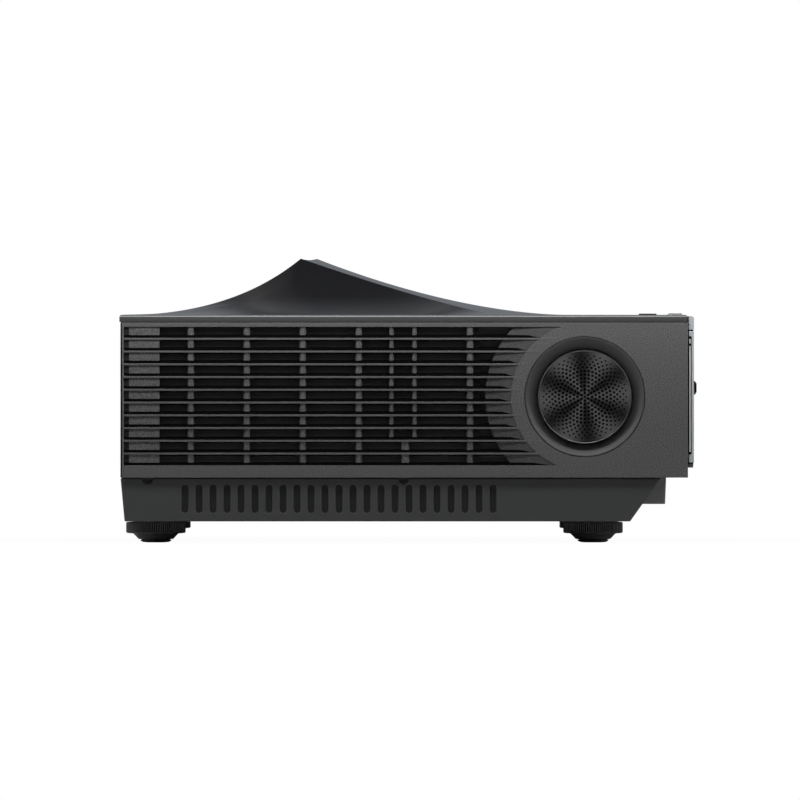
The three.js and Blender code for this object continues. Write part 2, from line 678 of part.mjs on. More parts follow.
function optics() {
  const mirror = mesh("aspheric_mirror", mirrorSolid(), material(0xdfe3e6, 0.03, 1.0));
  const bracket = joined(
    box(-86, 86, 8, 11, 60, 126),
    box(-86, -83.5, 8, 60, 60, 96),
    box(83.5, 86, 8, 60, 60, 96),
    box(-86, 86, 8, 60, 57, 60.5),
  );
  const chassis = joined(
    box(-58, 58, 130, 165.8, 54, 121),
    box(57, 172, 108, 160, 58, 116),
  ).subtract(joined(box(-55, 55, 133, 163, 57, 118), box(50, 169, 111, 157, 61, 113),
    box(-24, 24, 128, 134, AXIS.z - 24, AXIS.z + 24), box(168, 175, 116, 152, 70, 106)));
  const wheel = disc(19, 0, 1.5, 28).add(disc(6, -2.2, 3.8, 16));
  const wheelNode = mesh("diffuser_wheel", wheel, material(0xd8dde0, 0.3, 0.2));
  wheelNode.position.set(175, 134, AXIS.z - 4);
  wheelNode.rotation.y = Math.PI / 2;
  const laser = box(180, 214, 106, 162, 60, 114).subtract(box(179, 190, 116, 152, 70, 106));
  const dmd = box(-34, 34, 166.2, 167.8, 58, 122).add(box(-14, 14, 167.6, 169.2, 80, 104));
  return group(
    mirror,
    mesh("mirror_bracket", bracket, STEEL()),
    projectionLens(),
    focusDrive(),
    mesh("light_engine", chassis, ALU()),
    wheelNode,
    mesh("laser_module", laser, BRASS()),
    mesh("laser_heatsink", heatsink(), ALU()),
    mesh("dmd_board", dmd, GREEN()),
  );
}

function heatsink() {
  let sink = box(214.4, 218.4, 64, 164, 56, 118);
  for (const z of evenly(56, 116.4, 11)) sink = sink.add(box(218, 252, 64, 164, z, z + 1.6));
  return sink;
}

// ---------------------------------------------------------------- electronics
const SIGNAL_PORTS = [
  { name: "lan_socket", x: -230, z: 57.6, size: [16, 14], holes: [[0, 0, 12, 9]] },
  {
    name: "usb_socket",
    x: -196,
    z: 57.6,
    size: [16, 16],
    holes: [[0, -3.9, 12.8, 5.4], [0, 3.9, 12.8, 5.4]],
  },
  {
    name: "hdmi_socket",
    x: -150,
    z: 53.2,
    size: [60, 9],
    holes: [[-20, 0, 14.6, 5.2], [0, 0, 14.6, 5.2], [20, 0, 14.6, 5.2]],
  },
];

// Socket housing of a width and height, with its [x, z, width, height] plug holes open at the rear.
function socket({ name, x, z, size, holes }, flange = null) {
  const [w, h] = size.map((s) => s / 2);
  let body = box(-w, w, PORT_Y.front, PORT_Y.mouth, -h, h);
  if (flange) body = body.add(flange);
  for (const [u, v, wide, tall] of holes) {
    const hole = box(u - wide / 2, u + wide / 2, PORT_Y.floor, PORT_Y.mouth + 1, v - tall / 2, v + tall / 2);
    body = body.subtract(hole);
  }
  const node = mesh(name, body, BLACK());
  node.position.set(x, 0, z);
  return node;
}

function mainsInlet() {
  const { x, z, size, holes, flangeHalfW, flangeHalfH } = INLET;
  const flange = box(-flangeHalfW, flangeHalfW, REAR_SHEET.y0, REAR_SHEET.y1, -flangeHalfH, flangeHalfH);
  return socket({ name: "ac_inlet", x, z, size, holes }, flange);
}

function boards() {
  const topZ = BOARD_Z + BOARD_T;
  const main = joined(
    box(-242, -78, -8, 166, BOARD_Z, topZ),
    box(-190, -140, 40, 90, topZ - 0.2, topZ + 12),
    box(-232, -214, 20, 60, topZ - 0.2, topZ + 6),
    box(-120, -100, 20, 110, topZ - 0.2, topZ + 5),
  );
  const supply = joined(
    box(-188, 68, -152, -38, BOARD_Z, topZ),
    box(-170, -130, -140, -100, topZ - 0.2, topZ + 32),
    box(-20, 30, -130, -80, topZ - 0.2, topZ + 36),
    disc(11, topZ - 0.2, topZ + 38, 16).translate([-95, -120, 0]),
    disc(11, topZ - 0.2, topZ + 38, 16).translate([-65, -120, 0]),
    box(-110, 20, -60, -56, topZ - 0.2, topZ + 34),
  );
  return group(mesh("main_board", main, GREEN()), mesh("power_supply_board", supply, GREEN()), socketPlate(),
    mainsInlet(), ...SIGNAL_PORTS.map((port) => socket(port)));
}

// ---------------------------------------------------------------- the whole object
const projector = new THREE.Group();
projector.add(baseTub(), frontLowerBox(), rearPanel(), frontPieces(), topCover(), topDetails(), lensWell());
for (const side of [-1, 1]) {
  projector.add(sidePanel(side), ventLouver(side), speaker(side), fan(side));
  for (const [end, y] of [["front", FOOT.frontY], ["rear", FOOT.rearY]]) {
    projector.add(foot(`${sideName(side)}_${end}`, side * FOOT.x, y));
  }
}
projector.add(optics(), boards());

export default projector;
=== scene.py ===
"""Ultra-short-throw home projector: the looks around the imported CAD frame.

Shapes are drawn in millimetres in the row frame (+Z up, front towards -Y, photographed side towards -X)
and turned into metres when a mesh is made.
"""
import json
import math

import bmesh
import bpy
from mathutils import Matrix, Vector


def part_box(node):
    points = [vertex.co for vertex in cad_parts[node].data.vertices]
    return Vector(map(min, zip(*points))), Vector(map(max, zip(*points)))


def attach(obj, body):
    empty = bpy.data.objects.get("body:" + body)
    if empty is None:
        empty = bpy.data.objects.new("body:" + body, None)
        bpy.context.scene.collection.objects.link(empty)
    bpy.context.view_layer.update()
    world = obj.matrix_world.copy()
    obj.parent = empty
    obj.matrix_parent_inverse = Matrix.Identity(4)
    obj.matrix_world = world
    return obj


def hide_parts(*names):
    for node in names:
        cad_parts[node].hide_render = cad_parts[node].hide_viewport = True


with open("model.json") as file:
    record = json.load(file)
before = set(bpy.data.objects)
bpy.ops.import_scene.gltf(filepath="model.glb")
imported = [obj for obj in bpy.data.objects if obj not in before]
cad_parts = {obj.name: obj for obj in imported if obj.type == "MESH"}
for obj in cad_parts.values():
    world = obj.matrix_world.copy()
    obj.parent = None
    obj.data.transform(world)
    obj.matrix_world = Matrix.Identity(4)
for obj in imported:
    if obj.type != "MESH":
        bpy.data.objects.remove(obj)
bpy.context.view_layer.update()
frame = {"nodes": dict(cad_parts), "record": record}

MM = 0.001


def node_box(name):
    """Lowest and highest corner of a CAD node, in millimetres."""
    low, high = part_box(name)
    return low / MM, high / MM


# ---------------------------------------------------------------- driving dimensions, from the frame
PANEL_LOW, PANEL_HIGH = node_box("left_side_panel")
LID_LOW, LID_HIGH = node_box("top_cover")
TUB_LOW, TUB_HIGH = node_box("base_tub")
RING_LOW, RING_HIGH = node_box("left_speaker_ring")
CAP_LOW, CAP_HIGH = node_box("left_speaker_cap")
GRILLE_LOW, GRILLE_HIGH = node_box("front_grille")
REAR_FACE_Y = node_box("rear_panel")[1].y

HALF_W = -PANEL_LOW.x
SPEAKER_Y = (RING_LOW.y + RING_HIGH.y) / 2
SPEAKER_Z = (RING_LOW.z + RING_HIGH.z) / 2
RING_R = (RING_HIGH.z - RING_LOW.z) / 2
CAP_R = (CAP_HIGH.z - CAP_LOW.z) / 2
RINGS_PER_M = 9000
# lobes of the speaker cap's painted highlight, and how far they are turned
PAINTED_HIGHLIGHT_LOBES = 6
PAINTED_HIGHLIGHT_TURN = 2.09
SLOT_END_R = 44.3
RAMP_END_R = 59.7

BLADES = 10
BLADE_TOP_Z = 122.35
BLADE_PITCH = 7.65
BLADE_HALF = 0.62
SLOT_Z = (46.5, 129.5)
SLOT_REAR_Y = 170.6
PLATE_Y = (149.2, 167.5)
PLATE_DEPTH = 0.9  # the slots' rear wall and the ribs stand this far behind the panel face
WEDGE_BACK = 9.0
LOUVER_TOP_Z = 131.5
REAR_STRIP = 0.9
WIDE_RIBS = [130.4, 96.8, 63.2, 29.6, -37.1]
THIN_RIBS = [10.0, -3.8]

TUB_SLOTS = 23
TUB_SLOT_PITCH = 8.4
TUB_SLOT_FIRST_Y = 133.9
TUB_SLOT_HALF = 1.9
TUB_SLOT_Z = (17.9, 34.9)
TUB_TOP_Z = 38.8
TUB_FRONT = (-133.2, -151.7)  # y of the front wall at its foot and at its top
TUB_REAR = (170.2, 172.6)  # y of the rear wall at its foot and at its top
DIMPLE_Y = (156.4, 2.9)
DIMPLE = [(0, -1.9), (1.3, -1.7), (2.4, -1.2), (3.2, -0.5), (3.7, -0.45), (3.7, -2.4), (0, -2.4)]

LID_TOP = 136.8
LID_EDGE = 132.5
RIM_STEPS = [(0.0, 1.4), (0.12, 1.05), (0.36, 0.45), (0.62, 0.15), (1.1, 0.04), (2.0, 0.0)]  # inset and drop
HOOD_H = LID_HIGH.z - LID_TOP
HOOD_HALF = 125.0
HOOD_TOE_Y = -97.0
SIDE_TOE_Y = -54.0
REAR_TOE_Y = 170.0
LIP_MID_Y = 55.3
LIP_CORNER_Y = 64.9
WELL_HALF = 121.0
WELL_REAR_Y = 152.0

HDMI_X = (-170, -150, -130)
HDMI_Z = 53.2
USB_X = -196
LAN_X = -230
TALL_PORT_Z = 57.6
PORT_BACK_Y = 158

FOOT_RIDGES = 84
BUTTON_LOW, BUTTON_HIGH = node_box("power_button")
FLOOR_R = 520.0
FLOOR_GLOW = 0.97


# ---------------------------------------------------------------- camera, first
def make_camera():
    """Telephoto view of the left side, level with the lid and centred on the middle of the case."""
    distance = 22.0
    height = LID_TOP * MM
    middle = 0.0857
    camera = bpy.data.cameras.new("camera")
    camera.sensor_width = 36
    camera.lens = 75 * distance  # 0.48 m across the frame at the near side
    camera.clip_start = 1
    camera.clip_end = 400
    holder = bpy.data.objects.new("camera", camera)
    holder.location = (-distance - HALF_W * MM, 0.0049, height)
    tilt = math.atan((middle - height) / distance)
    holder.rotation_euler = (math.radians(90) + tilt, 0, math.radians(-90))
    bpy.context.scene.collection.objects.link(holder)
    bpy.context.scene.camera = holder


make_camera()


# ---------------------------------------------------------------- materials
def new_material(name):
    mat = bpy.data.materials.new(name)
    mat.use_nodes = True
    tree = mat.node_tree
    shader = tree.nodes["Principled BSDF"]
    place = tree.nodes.new("ShaderNodeTexCoord")
    return mat, tree, shader, place.outputs["Object"]


def link(source, target):
    source.id_data.links.new(source, target)


def fill(node, values):
    """Constant values for a node's inputs, by their names."""
    for name, value in values.items():
        node.inputs[name].default_value = value


def noise(tree, coords, scale, detail=2.0, stretch=None):
    """Fine noise in object space; stretch scales each axis, for grain or brush marks."""
    if stretch:
        mapping = tree.nodes.new("ShaderNodeMapping")
        mapping.inputs["Scale"].default_value = stretch
        link(coords, mapping.inputs["Vector"])
        coords = mapping.outputs["Vector"]
    node = tree.nodes.new("ShaderNodeTexNoise")
    fill(node, {"Scale": scale, "Detail": detail})
    link(coords, node.inputs["Vector"])
    return node.outputs["Fac"]


def ramp(tree, factor, low, high, start=0.3, end=0.7):
    node = tree.nodes.new("ShaderNodeValToRGB")
    node.color_ramp.elements[0].position = start
    node.color_ramp.elements[0].color = (*low, 1)
    node.color_ramp.elements[1].position = end
    node.color_ramp.elements[1].color = (*high, 1)
    link(factor, node.inputs["Fac"])
    return node.outputs["Color"]


def spread(tree, factor, low, high):
    node = tree.nodes.new("ShaderNodeMapRange")
    fill(node, {"To Min": low, "To Max": high})
    link(factor, node.inputs["Value"])
    return node.outputs["Result"]


def bump(tree, shader, height, strength, distance):
    node = tree.nodes.new("ShaderNodeBump")
    fill(node, {"Strength": strength, "Distance": distance})
    link(height, node.inputs["Height"])
    link(node.outputs["Normal"], shader.inputs["Normal"])


def surface(name, colour, roughness, metallic=0.0, grain=1800, contrast=0.18, relief=0.25,
            relief_mm=0.05, wear=0.04, specular=0.5, stretch=None):
    """A moulded, painted or cast surface: speckled colour, uneven roughness and a fine relief."""
    mat, tree, shader, coords = new_material(name)
    fine = noise(tree, coords, grain, 2.0, stretch)
    broad = noise(tree, coords, 14, 3.0)
    low = tuple(c * (1 - contrast) for c in colour)
    high = tuple(min(1, c * (1 + contrast)) for c in colour)
    link(ramp(tree, fine, low, high), shader.inputs["Base Color"])
    link(spread(tree, broad, roughness - wear, roughness + wear), shader.inputs["Roughness"])
    fill(shader, {"Metallic": metallic, "Specular IOR Level": specular})
    bump(tree, shader, fine, relief, relief_mm * MM)
    return mat


def maths(tree, operation, first, *numbers):
    """A maths node on a linked first value; what follows is a number or another link."""
    node = tree.nodes.new("ShaderNodeMath")
    node.operation = operation
    link(first, node.inputs[0])
    for socket, value in zip(node.inputs[1:], numbers):
        if isinstance(value, (int, float)):
            socket.default_value = value
        else:
            link(value, socket)
    return node.outputs[0]


def spun_metal():
    """Dark metal turned on a lathe: fine rings round the X axis, and painted highlights that fan out."""
    mat, tree, shader, coords = new_material("spun_cap")
    split = tree.nodes.new("ShaderNodeSeparateXYZ")
    link(coords, split.inputs["Vector"])
    along = maths(tree, "SUBTRACT", split.outputs["Y"], SPEAKER_Y * MM)
    up = maths(tree, "SUBTRACT", split.outputs["Z"], SPEAKER_Z * MM)
    flat = tree.nodes.new("ShaderNodeCombineXYZ")
    link(along, flat.inputs["X"])
    link(up, flat.inputs["Y"])
    length = tree.nodes.new("ShaderNodeVectorMath")
    length.operation = "LENGTH"
    link(flat.outputs["Vector"], length.inputs[0])
    line = tree.nodes.new("ShaderNodeTexNoise")
    line.noise_dimensions = "1D"
    fill(line, {"Scale": 1.0, "Detail": 1.0})
    link(maths(tree, "MULTIPLY", length.outputs["Value"], RINGS_PER_M), line.inputs["W"])
    angle = maths(tree, "ARCTAN2", up, along)
    # Painted highlight: bright and dark lobes round the cap's centre, put into its colour.
    fan = maths(tree, "SINE", maths(tree, "MULTIPLY_ADD", angle, PAINTED_HIGHLIGHT_LOBES, PAINTED_HIGHLIGHT_TURN))
    blend = maths(tree, "MULTIPLY_ADD", fan, 0.27, line.outputs["Fac"])
    link(ramp(tree, blend, (0.02, 0.02, 0.021), (0.4, 0.4, 0.405), 0.2, 0.98),
         shader.inputs["Base Color"])
    fill(shader, {"Metallic": 0.9, "Roughness": 0.34, "Anisotropic": 0.8})
    tangent = tree.nodes.new("ShaderNodeTangent")
    tangent.direction_type = "RADIAL"
    tangent.axis = "X"
    link(tangent.outputs["Tangent"], shader.inputs["Tangent"])
    bump(tree, shader, line.outputs["Fac"], 0.12, 0.02 * MM)
    return mat


def lid_paint():
    """Satin blue-grey paint on the rim that deepens to near black up the hood: painted light on the rim and
    painted shade up the hood.
    """
    mat, tree, shader, coords = new_material("lid_paint")
    split = tree.nodes.new("ShaderNodeSeparateXYZ")
    link(coords, split.inputs["Vector"])
    height = tree.nodes.new("ShaderNodeMapRange")
    height.interpolation_type = "SMOOTHSTEP"
    fill(height, {"From Min": 137 * MM, "From Max": 149 * MM})
    link(split.outputs["Z"], height.inputs["Value"])
    fine = noise(tree, coords, 2600, 2.0)
    # Painted light and shade: the lighter rim colour gives way to the near-black hood colour with height.
    shade = tree.nodes.new("ShaderNodeMix")
    shade.data_type = "RGBA"
    link(height.outputs["Result"], shade.inputs["Factor"])
    link(ramp(tree, fine, (0.034, 0.0354, 0.0405), (0.04, 0.0416, 0.0475)), shade.inputs["A"])
    link(ramp(tree, fine, (0.0046, 0.0048, 0.0066), (0.006, 0.0063, 0.0084)), shade.inputs["B"])
    link(shade.outputs["Result"], shader.inputs["Base Color"])
    link(spread(tree, noise(tree, coords, 14, 3.0), 0.33, 0.39), shader.inputs["Roughness"])
    shader.inputs["Specular IOR Level"].default_value = 0.35
    bump(tree, shader, fine, 0.06, 0.02 * MM)
    return mat


def glass():
    mat, tree, shader, coords = new_material("window_glass")
    link(ramp(tree, noise(tree, coords, 20), (0.8, 0.86, 0.95), (0.88, 0.93, 1.0)),
         shader.inputs["Base Color"])
    link(spread(tree, noise(tree, coords, 60), 0.01, 0.04), shader.inputs["Roughness"])
    fill(shader, {"Transmission Weight": 1.0, "IOR": 1.5, "Coat Weight": 0.6})
    return mat


def circuit_board():
    """Green solder mask with a faint net of tracks."""
    mat, tree, shader, coords = new_material("circuit_board")
    cells = tree.nodes.new("ShaderNodeTexVoronoi")
    cells.feature = "DISTANCE_TO_EDGE"
    cells.inputs["Scale"].default_value = 180
    link(coords, cells.inputs["Vector"])
    link(ramp(tree, cells.outputs["Distance"], (0.03, 0.16, 0.06), (0.01, 0.07, 0.03), 0.02, 0.09),
         shader.inputs["Base Color"])
    link(spread(tree, noise(tree, coords, 300), 0.3, 0.45), shader.inputs["Roughness"])
    bump(tree, shader, cells.outputs["Distance"], 0.2, 0.03 * MM)
    return mat


# colour, roughness, metallic, grain, contrast, relief, relief in mm, wear, specular level, stretch
# louver_plastic is paler than such plastic is, and the near-black paint after it is darker than any black
# plastic: painted light and painted shade that stand in for the way the deep slots shade it.
PAINTS = {
    "case_paint": ((0.07, 0.07, 0.071), 0.55, 0.1, 1700, 0.65, 0.5, 0.08),
    # darker than case_paint: painted shade in the speaker's dish
    "ring_paint": ((0.039, 0.039, 0.04), 0.55, 0.1, 2200, 0.18, 0.2, 0.04),
    "tub_plastic": ((0.0275, 0.0292, 0.0284), 0.55, 0.0, 2600, 0.12, 0.3, 0.04),
    # paler than such plastic is: painted light on the front box, which the overhang shades
    "front_box_plastic": ((0.21, 0.21, 0.21), 0.55, 0.0, 2600, 0.12, 0.3, 0.04),
    "driver_black": ((0.012, 0.012, 0.012), 0.7, 0.0, 900, 0.3, 0.4, 0.1),
    "inner_plastic": ((0.02, 0.02, 0.0205), 0.5, 0.0, 2200, 0.15, 0.25, 0.04),
    "front_metal": ((0.5, 0.525, 0.54), 0.34, 0.4, 900, 0.06, 0.06, 0.01, 0.04, 0.5, (0.03, 1, 1)),
    "strip_plastic": ((0.05, 0.05, 0.052), 0.5, 0.0, 2400, 0.1, 0.2, 0.03),
    "sensor_gloss": ((0.004, 0.004, 0.005), 0.2, 0.0, 300, 0.2, 0.02, 0.01, 0.03, 0.2),
    "button_gloss": ((0.02, 0.02, 0.021), 0.3, 0.0, 2400, 0.1, 0.1, 0.02),
    "foot_plastic": ((0.06, 0.06, 0.0605), 0.48, 0.0, 2600, 0.2, 0.3, 0.04),
    "foot_rubber": ((0.03, 0.03, 0.03), 0.8, 0.0, 1600, 0.3, 0.5, 0.06),
    "brass": ((0.55, 0.4, 0.18), 0.3, 1.0, 1500, 0.1, 0.1, 0.02),
    "mirror_coat": ((0.86, 0.88, 0.9), 0.04, 1.0, 30, 0.02, 0.01, 0.005, 0.02),
    "steel": ((0.42, 0.43, 0.44), 0.35, 1.0, 700, 0.1, 0.1, 0.02),
    "cast_aluminium": ((0.5, 0.51, 0.52), 0.42, 1.0, 1200, 0.12, 0.5, 0.06),
    "laser_copper": ((0.6, 0.33, 0.2), 0.32, 1.0, 1200, 0.12, 0.2, 0.03),
    "diffuser_coat": ((0.75, 0.77, 0.75), 0.4, 0.6, 1200, 0.06, 0.1, 0.02),
    "socket_black": ((0.014, 0.014, 0.014), 0.4, 0.0, 1800, 0.2, 0.2, 0.03),
    "louver_plastic": ((0.3, 0.3, 0.303), 0.5, 0.0, 2200, 0.15, 0.25, 0.04),
    "black_and_painted_shade": ((0.0014, 0.0014, 0.0014), 0.9, 0.0, 1500, 0.3, 0.2, 0.03, 0.04, 0.03),
    # a darker copy of case_paint: painted shade on the slots' conical floor
    "ramp_painted_shade": ((0.042, 0.042, 0.0425), 0.55, 0.1, 1700, 0.6, 0.5, 0.08),
    "chrome": ((0.8, 0.81, 0.82), 0.18, 0.45, 700, 0.04, 0.03, 0.01, 0.03),
    "slot_shadow": ((0.0105, 0.011, 0.011), 0.6, 0.0, 2600, 0.12, 0.3, 0.04, 0.04, 0.3),
    "lid_rim": ((0.034, 0.034, 0.036), 0.2, 0.0, 2600, 0.08, 0.05, 0.01, 0.02, 0.6),
    "lid_side": ((0.026, 0.0265, 0.0275), 0.42, 0.0, 2600, 0.1, 0.06, 0.02),
    "socket_metal": ((0.62, 0.62, 0.6), 0.3, 1.0, 900, 0.08, 0.1, 0.02),
    "screw_black": ((0.03, 0.03, 0.032), 0.35, 0.8, 1500, 0.2, 0.2, 0.02),
    "steel_dark": ((0.5, 0.5, 0.505), 0.25, 1.0, 1200, 0.06, 0.05, 0.01),
}
MATS = {name: surface(name, *values) for name, values in PAINTS.items()}
MATS.update({"lid_paint": lid_paint(), "spun_cap": spun_metal(), "circuit_board": circuit_board(),
             "window_glass": glass()})
# Near-black paint: painted shade wherever it goes, and also the own colour of the black cloths and gaskets.
BLACK = MATS["black_and_painted_shade"]
SLOTS = {row["node"]: row["material_slot"] for row in frame["record"]["subparts"]}


# ---------------------------------------------------------------- mesh helpers
def sharpen(mesh, degrees=32):
    mesh.polygons.foreach_set("use_smooth", [True] * len(mesh.polygons))
    mesh.set_sharp_from_angle(angle=math.radians(degrees))


def object_from(name, verts, faces, matrix=Matrix.Identity(4), degrees=32):
    """A mesh object from points in millimetres, with faces turned outward and metres in its vertices."""
    mesh = bpy.data.meshes.new(name)
    mesh.from_pydata([tuple(matrix @ Vector(v) * MM) for v in verts], [], faces)
    body = bmesh.new()
    body.from_mesh(mesh)
    bmesh.ops.remove_doubles(body, verts=body.verts, dist=1e-7)
    bmesh.ops.recalc_face_normals(body, faces=body.faces)
    body.to_mesh(mesh)
    body.free()
    sharpen(mesh, degrees)
    obj = bpy.data.objects.new(name, mesh)
    bpy.context.scene.collection.objects.link(obj)
    return obj


def bevel(obj, width_mm, segments=2, degrees=32):
    modifier = obj.modifiers.new("edges", "BEVEL")
    modifier.width = width_mm * MM
    modifier.segments = segments
    modifier.limit_method = "ANGLE"
    modifier.angle_limit = math.radians(degrees)
    modifier.harden_normals = True
    return obj


def even_normals(obj):
    """Lets the large faces of a plate set the shading, so that flat stays flat up to its rounded edges."""
    modifier = obj.modifiers.new("normals", "WEIGHTED_NORMAL")
    modifier.keep_sharp = True
    return obj


def piece(obj, slot_name, material=None, replaces=(), body="case"):
    """Gives a finished piece its material and its body, and hides the CAD nodes that it replaces; the slot
    name picks the material when none is given.
    """
    obj.data.materials.clear()
    obj.data.materials.append(material or MATS[slot_name])
    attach(obj, body)
    if replaces:
        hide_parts(*replaces)
    return obj


def circle(u, v, r, count, phase=0.0):
    turn = 2 * math.pi / count
    return [(u + r * math.cos(phase + i * turn), v + r * math.sin(phase + i * turn)) for i in range(count)]


def stadium(u, low, high, half, steps=8):
    """Upright slot with round ends."""
    top = [(u + half * math.cos(math.pi * i / steps), high - half + half * math.sin(math.pi * i / steps))
           for i in range(steps + 1)]
    foot = [(u - half * math.cos(math.pi * i / steps), low + half - half * math.sin(math.pi * i / steps))
            for i in range(steps + 1)]
    return top + foot


def rectangle(u0, v0, u1, v1):
    return [(u0, v0), (u1, v0), (u1, v1), (u0, v1)]


def area_of(points):
    return sum(a[0] * b[1] - b[0] * a[1] for a, b in zip(points, points[1:] + points[:1])) / 2


def plate(name, edge, holes, thick, round_edge, matrix):
    """Flat plate in local XY, from z = -thick to 0, with holes and rounded edges."""
    curve = bpy.data.curves.new(name, "CURVE")
    curve.dimensions = "2D"
    curve.fill_mode = "BOTH"
    curve.extrude = thick / 2 - round_edge
    curve.bevel_depth = round_edge
    curve.bevel_resolution = 1
    curve.offset = -round_edge
    for number, points in enumerate([edge, *holes]):
        ordered = points if (area_of(points) < 0) == (number == 0) else points[::-1]
        spline = curve.splines.new("POLY")
        spline.points.add(len(ordered) - 1)
        for point, (u, v) in zip(spline.points, ordered):
            point.co = (u, v, 0, 1)
        spline.use_cyclic_u = True
    holder = bpy.data.objects.new(name, curve)
    bpy.context.scene.collection.objects.link(holder)
    graph = bpy.context.evaluated_depsgraph_get()
    mesh = bpy.data.meshes.new_from_object(holder.evaluated_get(graph))
    bpy.data.objects.remove(holder)
    sunk = Matrix.Scale(MM, 4) @ matrix @ Matrix.Translation((0, 0, -thick / 2))
    mesh.transform(sunk)
    body = bmesh.new()
    body.from_mesh(mesh)
    bmesh.ops.remove_doubles(body, verts=body.verts, dist=1e-6)
    bmesh.ops.recalc_face_normals(body, faces=body.faces)
    body.to_mesh(mesh)
    body.free()
    sharpen(mesh)
    mesh.name = name
    obj = bpy.data.objects.new(name, mesh)
    bpy.context.scene.collection.objects.link(obj)
    return even_normals(obj)


def spun(name, profile, count, matrix, closed=False, degrees=32):
    """Turned piece round local Z from [radius, height] points; a closed profile makes a ring."""
    verts = []
    faces = []
    rows = len(profile)
    for i in range(count):
        a = 2 * math.pi * i / count
        verts += [(r * math.cos(a), r * math.sin(a), z) for r, z in profile]
    for i in range(count):
        here, there = i * rows, (i + 1) % count * rows
        last = rows if closed else rows - 1
        for k in range(last):
            n = (k + 1) % rows
            corners = [here + k, there + k, there + n, here + n]
            if profile[k][0] == 0:
                corners = [here + k, there + n, here + n]
            elif profile[n][0] == 0:
                corners = [here + k, there + k, here + n]
            faces.append(corners)
    obj = object_from(name, verts, faces, matrix, degrees)
    return obj


def prism(name, outline, start, end, matrix):
    """Solid with a local XY outline, from local z = start to end."""
    count = len(outline)
    verts = [(u, v, z) for z in (start, end) for u, v in outline]
    faces = [list(range(count)), list(range(count, 2 * count))]
    faces += [[i, (i + 1) % count, count + (i + 1) % count, count + i] for i in range(count)]
    return object_from(name, verts, faces, matrix)


def block(name, low, high):
    return prism(name, rectangle(low[0], low[1], high[0], high[1]), low[2], high[2], Matrix.Identity(4))


def join(name, objects):
    """One mesh object from several, which are removed."""
    body = bmesh.new()
    for obj in objects:
        body.from_mesh(obj.data)
    mesh = bpy.data.meshes.new(name)
    body.to_mesh(mesh)
    body.free()
    for obj in objects:
        bpy.data.objects.remove(obj)
    sharpen(mesh)
    joined = bpy.data.objects.new(name, mesh)
    bpy.context.scene.collection.objects.link(joined)
    return joined


def basis(x_axis, y_axis, z_axis, origin=(0, 0, 0)):
    """Matrix whose columns are the given axes and origin."""
    rows = [[x_axis[i], y_axis[i], z_axis[i], origin[i]] for i in range(3)]
    return Matrix([*rows, [0, 0, 0, 1]])


def side_matrix(side, x_out=0.0):
    """Local XY is the case's YZ, and local +Z points out through that side."""
    return basis((0, 1, 0), (0, 0, 1), (side, 0, 0), (side * (HALF_W + x_out), 0, 0))


def section_matrix(side):
    """Local X points out from that side's face, local Y is up, and local Z runs along the case's Y."""
    return basis((side, 0, 0), (0, 0, 1), (0, 1, 0), (side * HALF_W, 0, 0))


def plan_matrix(side):
    """Local X is the case's Y, local Y points out from that side's face, and local Z is up."""
    return basis((0, 1, 0), (side, 0, 0), (0, 0, 1), (side * HALF_W, 0, 0))


def speaker_matrix(side):
    return side_matrix(side) @ Matrix.Translation((SPEAKER_Y, SPEAKER_Z, 0))


ALONG_X = basis((0, 1, 0), (0, 0, 1), (1, 0, 0))  # local XY is the case's YZ, local Z is its X


def side_name(side):
    return "left" if side < 0 else "right"


# ---------------------------------------------------------------- side panels
def slot_end_y(z, radius=SLOT_END_R):
    return SPEAKER_Y + math.sqrt(max(0, radius ** 2 - (z - SPEAKER_Z) ** 2))


def blade_heights():
    return [BLADE_TOP_Z - i * BLADE_PITCH for i in range(BLADES)]


def slot_ranges():
    edges = [SLOT_Z[1]]
    for z in blade_heights():
        edges += [z + BLADE_HALF, z - BLADE_HALF]
    edges.append(SLOT_Z[0])
    return [(edges[i + 1], edges[i]) for i in range(0, len(edges), 2)]


def slot_outline(low, high):
    steps = 8
    front = [low + (high - low) * i / steps for i in range(steps + 1)]
    return [(SLOT_REAR_Y, low), *[(slot_end_y(z), z) for z in front], (SLOT_REAR_Y, high)]


def side_panel(side):
    name = side_name(side)
    rear = PANEL_HIGH.y - REAR_STRIP
    edge = rectangle(PANEL_LOW.y - 0.1, PANEL_LOW.z, rear, PANEL_HIGH.z)
    holes = [slot_outline(low, high) for low, high in slot_ranges()]
    holes.append(circle(SPEAKER_Y, SPEAKER_Z, RING_R + 0.35, 128))
    panel = plate(f"{name}_panel_skin", edge, holes, 2.4, 0.28, side_matrix(side))
    piece(panel, "case_paint", replaces=[f"{name}_side_panel"])
    # The rear edge strip is near black: painted shade at the panel's rear edge.
    strip = block(f"{name}_rear_edge_strip", (side * (HALF_W - 2.4), rear + 0.05, PANEL_LOW.z),
                  (side * (HALF_W - 0.25), PANEL_HIGH.y - 0.05, PANEL_HIGH.z))
    piece(bevel(strip, 0.2), "case_paint", BLACK)
    blade_tops(side)
    ribs(side)
    rear_pocket(side)
    louver(side)
    slot_ramp(side)


